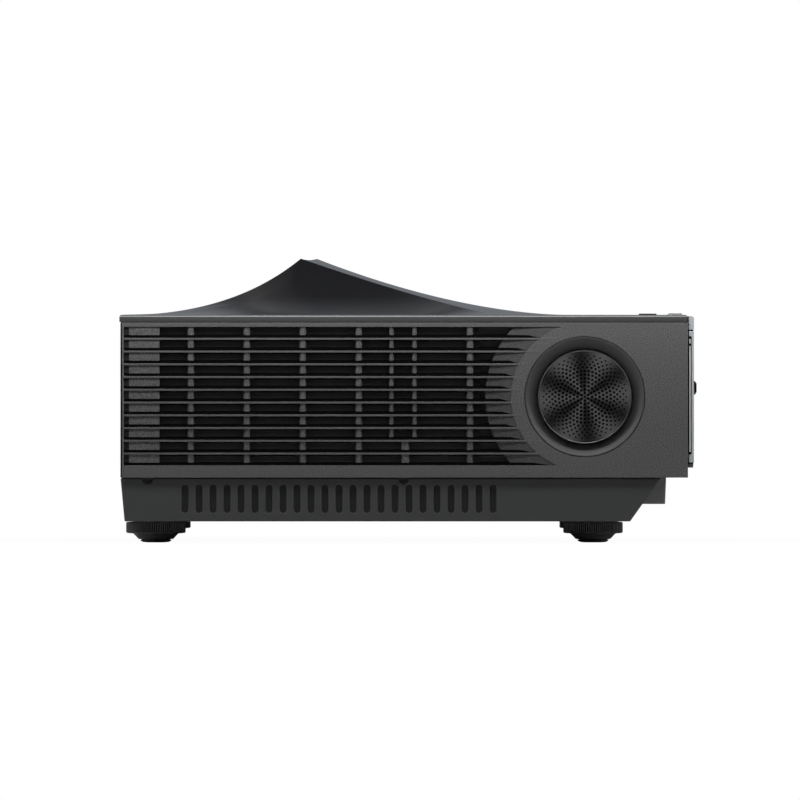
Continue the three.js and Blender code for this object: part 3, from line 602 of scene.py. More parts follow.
def blade_tops(side):
    """Black wedges behind the blades, as painted shade: they show as a dark band above each blade."""
    parts = []
    for z in blade_heights():
        outline = [(-0.45, z - 0.5), (-WEDGE_BACK, z - 1.3), (-WEDGE_BACK, z + 2.7), (-PLATE_DEPTH, z + 2.3),
                   (-0.45, z + 0.55)]
        parts.append(prism("wedge", outline, slot_end_y(z) - 2.5, SLOT_REAR_Y + 0.2, section_matrix(side)))
    z = SLOT_Z[0]
    sill = [(-0.5, z - 1.5), (-WEDGE_BACK, z - 1.5), (-WEDGE_BACK, z + 2.0), (-PLATE_DEPTH, z + 1.6),
            (-0.5, z - 0.1)]
    parts.append(prism("wedge", sill, slot_end_y(z) - 2.5, SLOT_REAR_Y + 0.2, section_matrix(side)))
    piece(join(f"{side_name(side)}_blade_backs", parts), "case_paint", BLACK)


def rib(side, y, half, low, high, face=-PLATE_DEPTH):
    foot_half = half + 0.75
    outline = [(y - half, face), (y + half, face), (y + foot_half, face - 0.9), (y + foot_half, -WEDGE_BACK),
               (y - foot_half, -WEDGE_BACK), (y - foot_half, face - 0.9)]
    return prism("rib", outline, low, high, plan_matrix(side))


def ribs(side):
    parts = [rib(side, y, 1.2, 43, 131) for y in WIDE_RIBS]
    parts += [rib(side, y, 0.6, 62, 131) for y in THIN_RIBS]
    parts.append(rib(side, 1.7, 1.7, 43, 60.5))
    piece(join(f"{side_name(side)}_ribs", parts), "case_paint")


def rear_pocket(side):
    """Painted wall behind the rear ends of the slots, and the shaded step between it and the slots' ends."""
    low, high = PLATE_Y
    pocket = ("slot_pocket", (low, high), PLATE_DEPTH, MATS["case_paint"])
    step = ("slot_step", (high + 0.02, SLOT_REAR_Y + 0.4), 1.7, MATS["slot_shadow"])
    for name, ends, depth, paint in (pocket, step):
        outline = rectangle(ends[0], -depth, ends[1], -depth - 2)
        wall = prism(f"{side_name(side)}_{name}", outline, SLOT_Z[0] - 2, SLOT_Z[1] + 1.5, plan_matrix(side))
        piece(wall, "case_paint", paint)


def louver(side):
    """Fixed louver behind the slots: each slat rises inward and laps behind the next one up."""
    local = section_matrix(side)
    parts = []
    for z in blade_heights() + [BLADE_TOP_Z + BLADE_PITCH, BLADE_TOP_Z - BLADES * BLADE_PITCH]:
        slat = [(-9.4, z - 5.2), (-15.6, z + 1.6), (-15.6, z + 4.4), (-14.6, z + 4.4), (-14.6, z + 2.2),
                (-8.4, z - 4.4), (-8.4, z - 5.2)]
        slat = [(u, min(v, LOUVER_TOP_Z)) for u, v in slat]
        parts.append(prism("slat", slat, -43, 168, local))
    parts.append(prism("wall", rectangle(-13.2, 42, -12.2, LOUVER_TOP_Z), -72, -43, local))
    # The slats take the pale louver paint: painted light in the deep slots.
    piece(join(f"{side_name(side)}_louver_slats", parts), "inner_plastic", MATS["louver_plastic"],
          replaces=[f"{side_name(side)}_vent_louver"])


def slot_ramp(side):
    """Conical floor that sinks from the flat ring round the speaker into the slots."""
    deep = 1.15
    steps = 6
    turns = 96
    span = math.radians(82)
    verts = []
    faces = []
    for layer in (0.0, -1.2):
        for k in range(steps + 1):
            r = SLOT_END_R - 0.6 + (RAMP_END_R - SLOT_END_R + 0.6) * k / steps
            depth = 0.45 + deep * max(0, r - SLOT_END_R) / (RAMP_END_R - SLOT_END_R)
            for i in range(turns + 1):
                a = -span + 2 * span * i / turns
                z = min(max(SPEAKER_Z + r * math.sin(a), SLOT_Z[0] - 1.5), SLOT_Z[1] + 1.5)
                verts.append((SPEAKER_Y + r * math.cos(a), z, layer - depth))
    width = turns + 1
    rows = steps + 1
    for k in range(steps):
        for i in range(turns):
            here = k * width + i
            faces.append([here, here + 1, here + width + 1, here + width])
            under = here + rows * width
            faces.append([under, under + width, under + width + 1, under + 1])
    rim = [k * width for k in range(rows)] + [steps * width + i for i in range(1, width)]
    rim += [k * width + turns for k in range(steps - 1, -1, -1)] + [i for i in range(turns - 1, 0, -1)]
    for a, b in zip(rim, rim[1:] + rim[:1]):
        faces.append([a, b, b + rows * width, a + rows * width])
    floor = object_from(f"{side_name(side)}_slot_ramp", verts, faces, side_matrix(side), 40)
    # The conical floor takes a darker copy of the case paint, as painted shade.
    piece(floor, "case_paint", MATS["ramp_painted_shade"])


# ---------------------------------------------------------------- speakers
def perforations():
    """Places and radii of the cap's holes: six-fold rings inside, evenly crowded rings outside."""
    holes = [(0.0, 0.0, 0.75)]
    r = 0.0
    for ring in range(1, 13):
        r += 2.22 if ring <= 8 else 1.78
        count = 6 * ring if ring <= 7 else 42
        phase = math.pi / 2 + (math.pi / count if ring % 2 == 0 and ring > 7 else 0)
        size = 0.86 if ring <= 7 else 0.86 - 0.06 * (ring - 7)
        for i in range(count):
            a = phase + 2 * math.pi * i / count
            holes.append((r * math.cos(a), r * math.sin(a), size))
    return holes


def speaker(side):
    name = side_name(side)
    place = speaker_matrix(side)
    outer = RING_R
    inner = CAP_R + 0.35
    steps = 12
    dish = [(outer - 0.5 + (inner - outer + 0.5) * i / steps, -0.12 - 6.8 * (i / steps) ** 1.2)
            for i in range(steps + 1)]
    profile = [(inner, -9), (outer + 2.5, -9), (outer + 2.5, -3), (outer, -3), (outer, -0.3),
               (outer - 0.2, -0.1), *dish]
    ring = spun(f"{name}_dish_ring", profile, 160, place, closed=True)
    # The dish ring's darker paint is painted shade.
    piece(ring, "ring_paint", replaces=[f"{name}_speaker_ring"])
    holes = [circle(u, v, r, 12) for u, v, r in perforations()]
    cap = plate(f"{name}_perforated_cap", circle(0, 0, CAP_R - 0.9, 128), holes, 0.8, 0.12,
                place @ Matrix.Translation((0, 0, -0.75)))
    piece(cap, "spun_cap", replaces=[f"{name}_speaker_cap"])
    rim = [(CAP_R - 0.95, -0.9), (CAP_R - 0.8, -0.55), (CAP_R - 0.5, -0.6), (CAP_R, -1.35), (CAP_R, -5.5),
           (CAP_R - 0.95, -5.5)]
    piece(spun(f"{name}_cap_rim", rim, 160, place, closed=True), "spun_cap", MATS["steel_dark"])
    # The cloth is black, and its near-black paint is painted shade in the holes as well.
    cloth = spun(f"{name}_cap_cloth", [(0, -3.4), (CAP_R - 1, -3.4), (CAP_R - 1, -4.0), (0, -4.0)], 64, place)
    piece(cloth, "driver_black", BLACK)


# ---------------------------------------------------------------- base tub
def rounded(points, radius, steps=4):
    """Outline with its corners rounded to a radius."""
    out = []
    count = len(points)
    for i, corner in enumerate(points):
        before, after = points[i - 1], points[(i + 1) % count]
        a = Vector(before) - Vector(corner)
        b = Vector(after) - Vector(corner)
        reach = min(radius, a.length / 2, b.length / 2)
        start = Vector(corner) + a.normalized() * reach
        end = Vector(corner) + b.normalized() * reach
        for k in range(steps + 1):
            t = k / steps
            out.append(tuple(start * (1 - t) ** 2 + Vector(corner) * 2 * t * (1 - t) + end * t ** 2))
    return out


def base_tub():
    half = TUB_HIGH.x
    wall = 2.5
    z0, z1 = TUB_LOW.z, TUB_TOP_Z
    side = [(TUB_FRONT[0], z0), (TUB_REAR[0], z0), (TUB_REAR[1], z1)]
    notch = []
    for y in DIMPLE_Y:
        arc = [math.pi * i / 8 for i in range(9)]
        notch += [(y + 3.0 * math.cos(a), z1 - 3.6 * math.sin(a)) for a in arc]
    side += notch + [(TUB_FRONT[1], z1)]
    slots = [stadium(TUB_SLOT_FIRST_Y - i * TUB_SLOT_PITCH, *TUB_SLOT_Z, TUB_SLOT_HALF)
             for i in range(TUB_SLOTS)]
    walls = []
    backs = []
    dimples = []
    for direction in (-1, 1):
        shift = side_matrix(direction, half - HALF_W)
        walls.append(plate("wall", side, slots, wall, 0.5, shift))
        face = direction * (half - 2.2)
        low, high = TUB_SLOT_Z[0] - 1.5, TUB_SLOT_Z[1] + 1.5
        backs.append(block("back", (face - 0.5, -60, low), (face + 0.5, 140, high)))
        for y in DIMPLE_Y:
            place = shift @ Matrix.Translation((y, z1, 0))
            dimples.append(spun("dimple", DIMPLE, 32, place))
    outer = [(TUB_FRONT[1], z1), (TUB_FRONT[0], z0), (TUB_REAR[0], z0), (TUB_REAR[1], z1)]
    inner = [(TUB_REAR[1] - wall, z1), (TUB_REAR[0] - wall, z0 + wall), (TUB_FRONT[0] + 1.5, z0 + wall),
             (TUB_FRONT[1] + wall + 0.8, z1)]
    shell = prism("shell", outer + inner, -half + wall - 0.2, half - wall + 0.2, ALONG_X)
    tub = even_normals(bevel(join("base_tub_shell", [shell, *walls]), 0.4))
    piece(tub, "tub_plastic", replaces=["base_tub"])
    piece(join("tub_slot_backs", backs), "tub_plastic", MATS["slot_shadow"])
    piece(join("tub_dimples", dimples), "tub_plastic")
    heights = (TUB_TOP_Z - 1.5, PANEL_LOW.z + 1.5)
    seam_lip("tub_seam_lip", half - 3, (TUB_FRONT[1] + 4, TUB_REAR[1] - 2.5), heights)
    screws_under(z0)


def seam_lip(name, half, ends, heights):
    """Dark lip inside a seam of the case, all the way round, so that no light shows through it; its
    near-black colour is painted shade.
    """
    low, high = heights
    front, rear = ends
    parts = [block("lip", (x - 0.5, front, low), (x + 0.5, rear, high)) for x in (-half, half)]
    parts += [block("lip", (-half, y - 0.5, low), (half, y + 0.5, high)) for y in (front, rear)]
    piece(join(name, parts), "tub_plastic", BLACK)


def screw(name, matrix, radius=2.6):
    """Countersunk cross-head screw whose head is flush at local z = 0."""
    head = [(0, -0.9), (radius * 0.28, -0.9), (radius * 0.34, -0.15), (radius * 0.8, 0.0), (radius, -0.25),
            (radius * 0.6, -1.6), (0, -1.6)]
    return spun(name, head, 24, matrix)


def screws_under(z0):
    parts = []
    down = basis((1, 0, 0), (0, -1, 0), (0, 0, -1))
    for x in (-200, -70, 70, 200):
        for y in (-118, 20, 158):
            place = Matrix.Translation((x, y, z0 - 0.15)) @ down
            parts.append(screw("screw", place))
    piece(join("base_screws", parts), "steel", MATS["screw_black"])


# ---------------------------------------------------------------- feet
def foot(place, x, y):
    """Knurled wheel and rubber pad at the CAD foot's place."""
    low, high = node_box(f"{place}_foot_wheel")
    radius = (high.x - low.x) / 2
    verts = []
    faces = []
    turns = FOOT_RIDGES * 6
    band = [(5.5, 0.0, 0.86), (5.75, 0.0, 0.97), (6.3, 0.5, 1.0), (7.0, 1.0, 1.0), (11.2, 1.0, 1.0),
            (11.9, 0.5, 1.0), (12.35, 0.0, 0.97), (12.5, 0.0, 0.86)]
    for i in range(turns):
        a = 2 * math.pi * i / turns
        wave = 0.5 + 0.5 * math.cos(FOOT_RIDGES * a)
        for z, share, scale in band:
            r = radius * scale - share * 1.1 * (1 - min(1, 1.9 * wave))
            verts.append((x + r * math.cos(a), y + r * math.sin(a), z))
    rows = len(band)
    for i in range(turns):
        here, there = i * rows, (i + 1) % turns * rows
        faces += [[here + k, there + k, there + k + 1, here + k + 1] for k in range(rows - 1)]
    knurl = object_from("knurl", verts, faces, degrees=25)
    spot = Matrix.Translation((x, y, 0))
    core = [(0, 2.0), (9.6, 2.0), (10.5, 2.15), (10.8, 2.5), (12.9, 4.7), (13.5, 5.25), (14.2, 5.5),
            (radius * 0.87, 5.5), (radius * 0.87, 12.5), (4.0, 12.5), (4.0, 34), (0, 34)]
    wheel = join(f"{place}_knurled_wheel", [knurl, spun("core", core, 96, spot)])
    piece(wheel, "foot_plastic", replaces=[f"{place}_foot_wheel"], body=f"{place}_wheel")
    # The grooves between the ridges take the near-black paint: painted shade in the knurl.
    wheel.data.materials.append(BLACK)
    for face in wheel.data.polygons:
        middle = face.center / MM
        reach = math.hypot(middle.x - x, middle.y - y)
        in_painted_shade_groove = radius * 0.88 < reach < radius - 0.35 and 6.3 < middle.z < 11.9
        face.material_index = 1 if in_painted_shade_groove else 0
    pad = [(0, 0.0), (5, 0.04), (7.5, 0.25), (8.8, 0.75), (9.3, 1.35), (9.2, 1.72), (8.6, 1.75), (8.6, 1.97),
           (0, 1.97)]
    piece(spun(f"{place}_rubber_pad", pad, 96, spot), "foot_rubber", replaces=[f"{place}_foot_pad"],
          body=f"{place}_pad")


# ---------------------------------------------------------------- top cover
def clamp01(value):
    return min(1.0, max(0.0, value))


def smooth(value):
    value = clamp01(value)
    return value * value * (3 - 2 * value)


def lip_y(x):
    return LIP_MID_Y + (LIP_CORNER_Y - LIP_MID_Y) * clamp01(abs(x) / HOOD_HALF) ** 2


def crown_height(y):
    return HOOD_H * clamp01((y - HOOD_TOE_Y) / (LIP_MID_Y - HOOD_TOE_Y)) ** 1.74


def crease_height(y):
    return HOOD_H * clamp01((y - SIDE_TOE_Y) / (LIP_CORNER_Y - SIDE_TOE_Y)) ** 1.2


def rear_height(y):
    s = clamp01((REAR_TOE_Y - y) / (REAR_TOE_Y - LIP_CORNER_Y))
    return HOOD_H * s ** (2.05 + 0.47 * s)


def edge_height(y):
    return crease_height(y) if y < LIP_CORNER_Y else rear_height(y)


def flank_height(out, y):
    """The hood's side: it falls from the edge, softens on the way down, and flares at both ends."""
    blur = min(14.0, 1.1 * out)
    shares = (0.1, 0.2, 0.4, 0.2, 0.1)
    edge = sum(share * edge_height(y + blur * step) for share, step in zip(shares, (-2, -1, 0, 1, 2)))
    behind = smooth((y - 50) / 80)
    ahead = smooth((10 - y) / 55)
    flare = 5 + 9 * edge / HOOD_H + 52 * behind + 20 * ahead
    power = 1.25 + 1.05 * behind + 0.75 * ahead
    return edge * clamp01(1 - out / flare) ** power


def hood_height(x, y):
    """Height of the hood above the lid. Over the lens well it is the well's brim."""
    across = abs(x)
    if across > HOOD_HALF:
        return flank_height(across - HOOD_HALF, y)
    edge = edge_height(y)
    if y > LIP_CORNER_Y:
        return edge
    if y > lip_y(x):
        return HOOD_H
    if y > SIDE_TOE_Y:
        crown = min(crown_height(y), HOOD_H)
        return edge + (crown - edge) * (1 - (across / HOOD_HALF) ** 2)
    toe = HOOD_HALF * math.sqrt(clamp01((y - HOOD_TOE_Y) / (SIDE_TOE_Y - HOOD_TOE_Y)))
    return crown_height(y) * clamp01(1 - (across / toe) ** 2) if toe > 0 else 0.0


def edge_drop(distance):
    """How far the lid has dropped at a distance in from its rim: a steep facet, then a soft turn."""
    for (near, low), (far, high) in zip(RIM_STEPS, RIM_STEPS[1:]):
        if distance <= far:
            return low + (high - low) * (distance - near) / (far - near)
    return 0.0


def graded(stops):
    """Values from (start, end, steps) stretches laid end to end."""
    values = []
    for start, end, steps in stops:
        values += [start + (end - start) * i / steps for i in range(steps)]
    values.append(stops[-1][1])
    return values


def top_cover():
    half = HALF_W
    rim = [inset for inset, drop in RIM_STEPS]
    left = [(2.0 - half, -220, 3), (-220, -150, 24), (-150, -HOOD_HALF, 36), (-HOOD_HALF, -WELL_HALF, 2)]
    right = [(-end, -start, steps) for start, end, steps in left[::-1]]
    across = graded([*left, (-WELL_HALF, WELL_HALF, 48), *right])
    xs = [-half + d for d in rim[:-1]] + across + [half - d for d in rim[:-1][::-1]]
    front, rear = LID_LOW.y, LID_HIGH.y
    brow = LIP_MID_Y - 2
    along = graded([(front + 2, HOOD_TOE_Y, 6), (HOOD_TOE_Y, brow, 100), (brow, LIP_MID_Y, 2)])
    lip_row = len(rim) - 1 + len(along) - 1
    behind = graded([(LIP_CORNER_Y + 1.5, WELL_REAR_Y, 60), (WELL_REAR_Y, rear - 2, 14)])
    ys = [front + d for d in rim[:-1]] + along + [LIP_CORNER_Y] + behind + [rear - d for d in rim[:-1][::-1]]
    well_row = ys.index(WELL_REAR_Y)

    def place(column, row):
        x, y = xs[column], ys[row]
        if row == lip_row + 1:
            y = LIP_CORNER_Y
        if LIP_MID_Y - 60 < ys[row] <= LIP_MID_Y + 0.01 and row <= lip_row:
            fade = smooth((ys[row] - LIP_MID_Y + 60) / 60)
            y = ys[row] + (min(lip_y(x), LIP_CORNER_Y - 0.01) - LIP_MID_Y) * fade
        inset = min(half - abs(x), y - front, rear - y)
        return x, y, LID_TOP + hood_height(x, y) - edge_drop(inset)

    verts = [place(c, r) for r in range(len(ys)) for c in range(len(xs))]
    width = len(xs)
    faces = []
    for r in range(len(ys) - 1):
        for c in range(width - 1):
            middle = (xs[c] + xs[c + 1]) / 2
            if abs(middle) < WELL_HALF and lip_row <= r < well_row:
                continue
            here = r * width + c
            faces.append([here, here + 1, here + width + 1, here + width])
    rim_loop = list(range(width)) + [r * width + width - 1 for r in range(1, len(ys))]
    rim_loop += [(len(ys) - 1) * width + c for c in range(width - 2, -1, -1)]
    rim_loop += [r * width for r in range(len(ys) - 2, 0, -1)]
    base = len(verts)
    for index in rim_loop:
        x, y, z = verts[index]
        verts.append((x, y, LID_EDGE))
    count = len(rim_loop)
    for i in range(count):
        n = (i + 1) % count
        faces.append([rim_loop[i], rim_loop[n], base + n, base + i])
    cover = object_from("top_cover_skin", verts, faces, degrees=38)
    flip_up(cover)
    solid = cover.modifiers.new("wall", "SOLIDIFY")
    solid.thickness = 2.2 * MM
    solid.offset = -1
    bevel(cover, 0.35, 2, 50)
    piece(cover, "lid_paint", replaces=["top_cover"])
    cover.data.materials.append(MATS["lid_rim"])
    cover.data.materials.append(MATS["lid_side"])
    heights = (PANEL_HIGH.z - 1.2, LID_EDGE + 1.5)
    seam_lip("lid_seam_lip", half - 3.4, (front + 3.4, rear - 1.4), heights)
    for face in cover.data.polygons:
        middle = face.center / MM
        inset = min(half - abs(middle.x), middle.y - front, rear - middle.y)
        if middle.z < LID_TOP - RIM_STEPS[0][1]:
            face.material_index = 2
        elif inset < RIM_STEPS[3][0]:
            face.material_index = 1


def flip_up(obj):
    """Turns an open skin so that its large faces point up."""
    total = sum((p.normal.z * p.area for p in obj.data.polygons), 0.0)
    if total < 0:
        obj.data.flip_normals()


# ---------------------------------------------------------------- lens well
def well_outline(inset, steps=32):
    half = WELL_HALF - inset
    front = [(-half + 2 * half * i / steps) for i in range(steps + 1)]
    start, end = lip_y(half) + inset, WELL_REAR_Y - inset
    flank = [start + (end - start) * i / steps for i in range(1, steps + 1)]
    return [*[(x, lip_y(x) + inset) for x in front], *[(half, y) for y in flank],
            *[(-half, y) for y in flank[::-1]]]


def lens_well():
    low, high = node_box("lens_window")
    slope = (low.z - high.z) / (high.y - low.y)
    floor_at = lambda y: high.z + slope * (y - low.y) + 0.2
    outer = well_outline(0.3)
    inner = well_outline(2.8)
    count = len(outer)
    verts = []
    for ring, drop in ((outer, -1), (inner, -1), (inner, None), (outer, None)):
        for x, y in ring:
            top = LID_TOP + hood_height(x, max(y, LIP_CORNER_Y + 0.01)) - 1.2
            verts.append((x, y, top if drop else floor_at(y) - 2.5))
    faces = []
    for layer in range(4):
        for i in range(count):
            n = (i + 1) % count
            a, b = layer * count, (layer + 1) % 4 * count
            faces.append([a + i, a + n, b + n, b + i])
    wall = bevel(object_from("lens_well_wall", verts, faces), 0.3)
    piece(wall, "inner_plastic", replaces=["lens_well"])
    frame_edge = well_outline(0.6)
    window = rectangle(low.x - 0.3, low.y - 0.3, high.x + 0.3, high.y + 0.3)
    tilt = Matrix([[1, 0, 0, 0], [0, 1, 0, 0], [0, slope, 1, floor_at(0)], [0, 0, 0, 1]])
    floor = plate("lens_well_floor", frame_edge, [window], 2.5, 0.3, tilt)
    piece(floor, "inner_plastic")
    lips = []
    for k in range(3):
        grow = 3.0 + 3.4 * k
        front = low.y - grow * 0.6
        ring = rectangle(low.x - grow, front, high.x + grow, high.y + grow)
        hole = rectangle(low.x - grow + 1, front + 1, high.x + grow - 1, high.y + grow - 1)
        lips.append(plate("lip", ring, [hole], 0.9, 0.2, tilt @ Matrix.Translation((0, 0, 0.8))))
    piece(join("lens_well_baffles", lips), "inner_plastic")


# ---------------------------------------------------------------- front
def front():
    low, high = GRILLE_LOW, GRILLE_HIGH
    edge = rounded(rectangle(low.x, low.z, high.x, high.z), 1.2)
    slots = []
    count = 104
    pitch = 5.0
    for i in range(count):
        x = (i - (count - 1) / 2) * pitch
        if abs(x) > 16:
            slots.append(stadium(x, 56, 119, 1.25, 5))
    face = basis((-1, 0, 0), (0, 0, 1), (0, 1, 0)) @ Matrix.Scale(-1, 4, (0, 0, 1))
    place = Matrix.Translation((0, low.y, 0)) @ face
    grille = plate("front_fascia", edge, slots, high.y - low.y, 0.35, place)
    piece(grille, "front_metal", replaces=["front_grille"])
    # The cloth behind the slots is black, made darker still as painted shade.
    backing = block("front_cloth", (low.x + 6, high.y - 1.0, 54), (high.x - 6, high.y + 0.1, 121))
    piece(bevel(backing, 0.2), "inner_plastic", BLACK)
    edge_trim()


def edge_trim():
    """Dark groove down each end of the front panel, with a bright wire that ends in a bead."""
    for side in (-1, 1):
        name = side_name(side)
        x = side * GRILLE_HIGH.x
        groove = rounded(rectangle(-170.1, 53, -168.2, 124), 0.8)
        # The groove's near-black paint is painted shade in the gap.
        piece(prism(f"{name}_edge_groove", groove, x - side * 0.5, x + side * 0.12, ALONG_X),
              "inner_plastic", BLACK)
        parts = []
        for low, high in ((54.5, 118.2), (119.6, 122.4)):
            outline = rounded(rectangle(-169.5, low, -168.7, high), 0.5)
            parts.append(prism("wire", outline, x - side * 0.4, x + side * 0.7, ALONG_X))
        piece(bevel(join(f"{name}_edge_wire", parts), 0.2), "front_metal", MATS["chrome"])


def front_seams():
    """Dark gaskets in the two long seams of the front panel."""
    cap_low = node_box("front_trim_cap")[0]
    strip_high = node_box("front_foot_strip")[1]
    half = GRILLE_HIGH.x - 0.15
    parts = [block("seam", (-half, GRILLE_LOW.y + 0.35, z - 1.2), (half, GRILLE_HIGH.y - 0.1, z + 1.2))
             for z in ((GRILLE_HIGH.z + cap_low.z) / 2, (strip_high.z + GRILLE_LOW.z) / 2)]
    # The gaskets' near-black paint is their dark colour and painted shade in the seams as well.
    piece(join("front_seam_gaskets", parts), "inner_plastic", BLACK)


def kept_nodes():
    """CAD nodes whose shape is kept: softened edges and their own materials."""
    rounded_nodes = {
        "front_lower_box": 0.6, "front_frame": 0.3, "front_trim_cap": 0.15, "front_foot_strip": 0.5,
        "sensor_window": 0.15, "top_trim_bar": 0.25, "lens_window": 0.3, "left_vent_louver": 0.3,
        "right_vent_louver": 0.3, "left_speaker_box": 1.0, "right_speaker_box": 1.0, "left_fan_frame": 0.6,
        "right_fan_frame": 0.6, "mirror_bracket": 0.4, "light_engine": 1.2, "laser_module": 0.8,
        "laser_heatsink": 0.3, "main_board": 0.2, "power_supply_board": 0.4, "dmd_board": 0.2,
        "button_switch_board": 0.2, "rear_panel": 0.25, "socket_plate": 0.25, "ac_inlet": 0.4,
        "lan_socket": 0.3, "usb_socket": 0.3, "hdmi_socket": 0.3,
    }
    for name, node in frame["nodes"].items():
        if node.hide_render:
            continue
        node.data.materials.clear()
        node.data.materials.append(MATS[SLOTS[name]])
        sharpen(node.data)
        if name in rounded_nodes:
            bevel(node, rounded_nodes[name], 2, 40)


# ---------------------------------------------------------------- button, rear panel and sockets
def power_button():
    x = (BUTTON_LOW.x + BUTTON_HIGH.x) / 2
    y = (BUTTON_LOW.y + BUTTON_HIGH.y) / 2
    r = (BUTTON_HIGH.x - BUTTON_LOW.x) / 2
    top = BUTTON_HIGH.z
    profile = [(0, 130.6), (2, 130.6), (2, 133.6), (r, 133.6), (r, top - 0.45), (r - 0.12, top - 0.15),
               (r - 0.45, top), (r * 0.72, top - 0.02), (0, top - 0.25)]
    cap = spun("power_button_cap", profile, 96, Matrix.Translation((x, y, 0)))
    piece(cap, "button_gloss", replaces=["power_button"], body="power_button")


def rear_details():
    face = REAR_FACE_Y
    screws = []
    out = basis((-1, 0, 0), (0, 0, 1), (0, 1, 0))
    for x in (-286, -80, 80, 226):
        for z in (46, 125):
            screws.append(screw("screw", Matrix.Translation((x, face - 0.1, z)) @ out, 2.3))
    plate_low, plate_high = node_box("socket_plate")
    for x in (plate_low.x + 4, plate_high.x - 4):
        for z in (plate_low.z + 5, plate_high.z - 5):
            screws.append(screw("screw", Matrix.Translation((x, face - 0.1, z)) @ out, 1.9))
    inlet_low, inlet_high = node_box("ac_inlet")
    x = (inlet_low.x + inlet_high.x) / 2
    z = (inlet_low.z + inlet_high.z) / 2
    for side in (-1, 1):
        screws.append(screw("screw", Matrix.Translation((x + side * 20, face - 0.1, z)) @ out, 2.3))
    piece(join("rear_screws", screws), "steel", MATS["screw_black"])
    pins = [block("pin", (x + dx - 1.0, PORT_BACK_Y, z + dz - 2.0), (x + dx + 1.0, 168.5, z + dz + 2.0))
            for dx, dz in ((-7, -1.5), (0, 2.5), (7, -1.5))]
    piece(bevel(join("inlet_pins", pins), 0.3), "steel", MATS["socket_metal"])
    tongues = []
    shells = []
    for port_x in HDMI_X:
        tongues.append(tongue(port_x, HDMI_Z, 0.55, 170.5))
        shells.append(socket_shell(port_x, HDMI_Z, 14.4, 5.0))
    for dz in (-3.9, 3.9):
        tongues.append(tongue(USB_X, TALL_PORT_Z + dz + 1.2, 0.8, 171))
        shells.append(socket_shell(USB_X, TALL_PORT_Z + dz, 12.6, 5.2))
    shells.append(socket_shell(LAN_X, TALL_PORT_Z, 11.8, 8.8))
    piece(bevel(join("socket_tongues", tongues), 0.15), "socket_black", MATS["inner_plastic"])
    piece(join("socket_shells", shells), "steel", MATS["socket_metal"])


def tongue(x, z, half_thick, mouth_y):
    return block("tongue", (x - 5.4, PORT_BACK_Y, z - half_thick), (x + 5.4, mouth_y, z + half_thick))


def socket_shell(x, z, wide, tall):
    """Thin metal sleeve inside a socket, standing just proud of the rear panel."""
    u, v = wide / 2, tall / 2
    edge = rounded(rectangle(x - u, z - v, x + u, z + v), 0.8)
    inside = rounded(rectangle(x - u + 0.4, z - v + 0.4, x + u - 0.4, z + v - 0.4), 0.6)
    flip = basis((1, 0, 0), (0, 0, 1), (0, -1, 0))
    return plate("shell", edge, [inside], 12, 0.1, Matrix.Translation((0, 160.4, 0)) @ flip)


# ---------------------------------------------------------------- studio
def area_light(name, location, target, size, energy, glossy=True, colour=(1, 1, 1)):
    light = bpy.data.lights.new(name, "AREA")
    light.shape = "RECTANGLE"
    light.size, light.size_y = size
    light.energy = energy
    light.color = colour
    holder = bpy.data.objects.new(name, light)
    holder.location = location
    holder.visible_camera = False
    holder.visible_glossy = glossy
    holder.rotation_euler = (Vector(target) - Vector(location)).to_track_quat("-Z", "Y").to_euler()
    bpy.context.scene.collection.objects.link(holder)


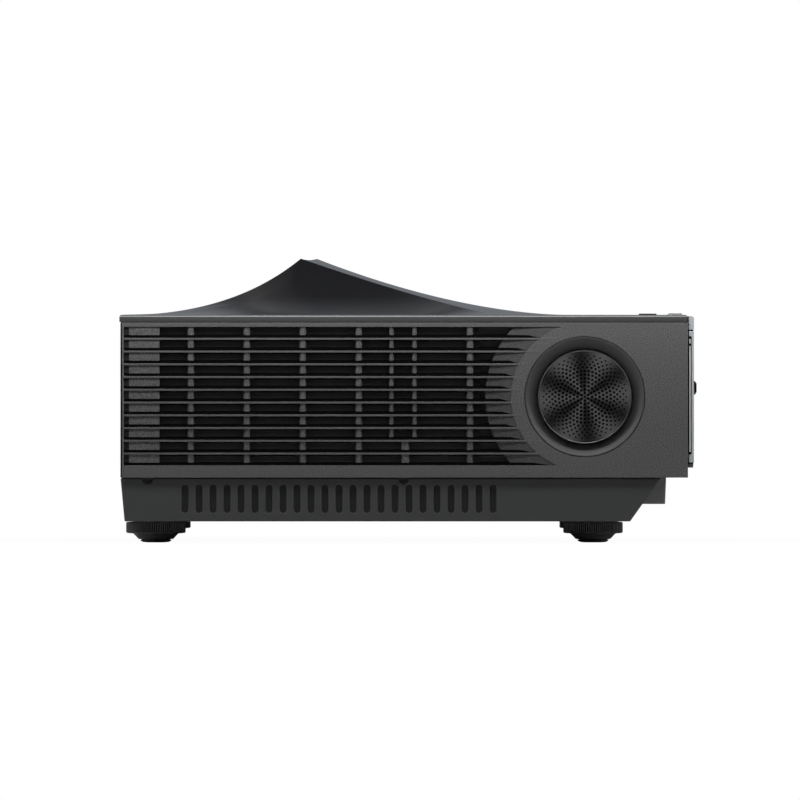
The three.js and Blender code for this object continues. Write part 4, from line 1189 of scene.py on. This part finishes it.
def studio():
    scene = bpy.context.scene
    world = bpy.data.worlds.new("studio")
    scene.world = world
    world.use_nodes = True
    tree = world.node_tree
    background = tree.nodes["Background"]
    bright = tree.nodes.new("ShaderNodeBackground")
    for node, strength in ((background, 0.13), (bright, 1.0)):
        fill(node, {"Color": (1, 1, 1, 1), "Strength": strength})
    path = tree.nodes.new("ShaderNodeLightPath")
    mix = tree.nodes.new("ShaderNodeMixShader")
    link(path.outputs["Is Camera Ray"], mix.inputs["Fac"])
    link(background.outputs[0], mix.inputs[1])
    link(bright.outputs[0], mix.inputs[2])
    link(mix.outputs[0], tree.nodes["World Output"].inputs["Surface"])
    area_light("top_soft", (0, 0, 1.5), (0, 0, 0.1), (2.2, 2.2), 9)
    for side in (-1, 1):
        area_light("side_strip", (side * 0.372, 0, 0.212), (side * 0.3, 0, 0.1), (1.2, 0.045), 1.3, side < 0)
    area_light("front_fill", (0, -2.2, 1.0), (0, 0, 0.1), (2.0, 1.0), 8)
    area_light("rear_fill", (0, 2.2, 1.0), (0, 0, 0.1), (2.0, 1.0), 8)
    area_light("far_glow", (1.6, 0, 0.55), (0, 0, 0.14), (1.6, 0.9), 2.0, colour=(0.82, 0.89, 1.0))
    floor = floor_sheet()
    scene.view_settings.view_transform = "Standard"
    scene.view_settings.look = "None"


def floor_sheet():
    """Pale round floor, a hair below the feet, that fades into the white studio towards its rim."""
    floor = spun("floor", [(0, -0.1), (FLOOR_R, -0.1), (FLOOR_R, -0.3), (0, -0.3)], 128, Matrix.Identity(4))
    mat, tree, shader, coords = new_material("floor")
    link(ramp(tree, noise(tree, coords, 3), (0.66, 0.66, 0.66), (0.7, 0.7, 0.7)),
         shader.inputs["Base Color"])
    shader.inputs["Roughness"].default_value = 0.8
    reach = tree.nodes.new("ShaderNodeVectorMath")
    reach.operation = "LENGTH"
    link(coords, reach.inputs[0])
    fade = tree.nodes.new("ShaderNodeMapRange")
    fade.interpolation_type = "SMOOTHSTEP"
    fill(fade, {"From Min": 0.55 * FLOOR_R * MM, "From Max": 0.98 * FLOOR_R * MM, "To Min": FLOOR_GLOW})
    link(reach.outputs["Value"], fade.inputs["Value"])
    path = tree.nodes.new("ShaderNodeLightPath")
    share = maths(tree, "MULTIPLY", fade.outputs["Result"], path.outputs["Is Camera Ray"])
    glow = tree.nodes.new("ShaderNodeEmission")
    mix = tree.nodes.new("ShaderNodeMixShader")
    link(share, mix.inputs["Fac"])
    link(shader.outputs[0], mix.inputs[1])
    link(glow.outputs[0], mix.inputs[2])
    link(mix.outputs[0], tree.nodes["Material Output"].inputs["Surface"])
    floor.data.materials.append(mat)
    return floor


# ---------------------------------------------------------------- the whole model
for direction in (-1, 1):
    side_panel(direction)
    speaker(direction)
base_tub()
for end in ("front", "rear"):
    for direction in (-1, 1):
        corner = f"{side_name(direction)}_{end}"
        wheel_low, wheel_high = node_box(f"{corner}_foot_wheel")
        foot(corner, (wheel_low.x + wheel_high.x) / 2, (wheel_low.y + wheel_high.y) / 2)
top_cover()
lens_well()
front()
front_seams()
power_button()
rear_details()
kept_nodes()
studio()

bpy.context.view_layer.update()
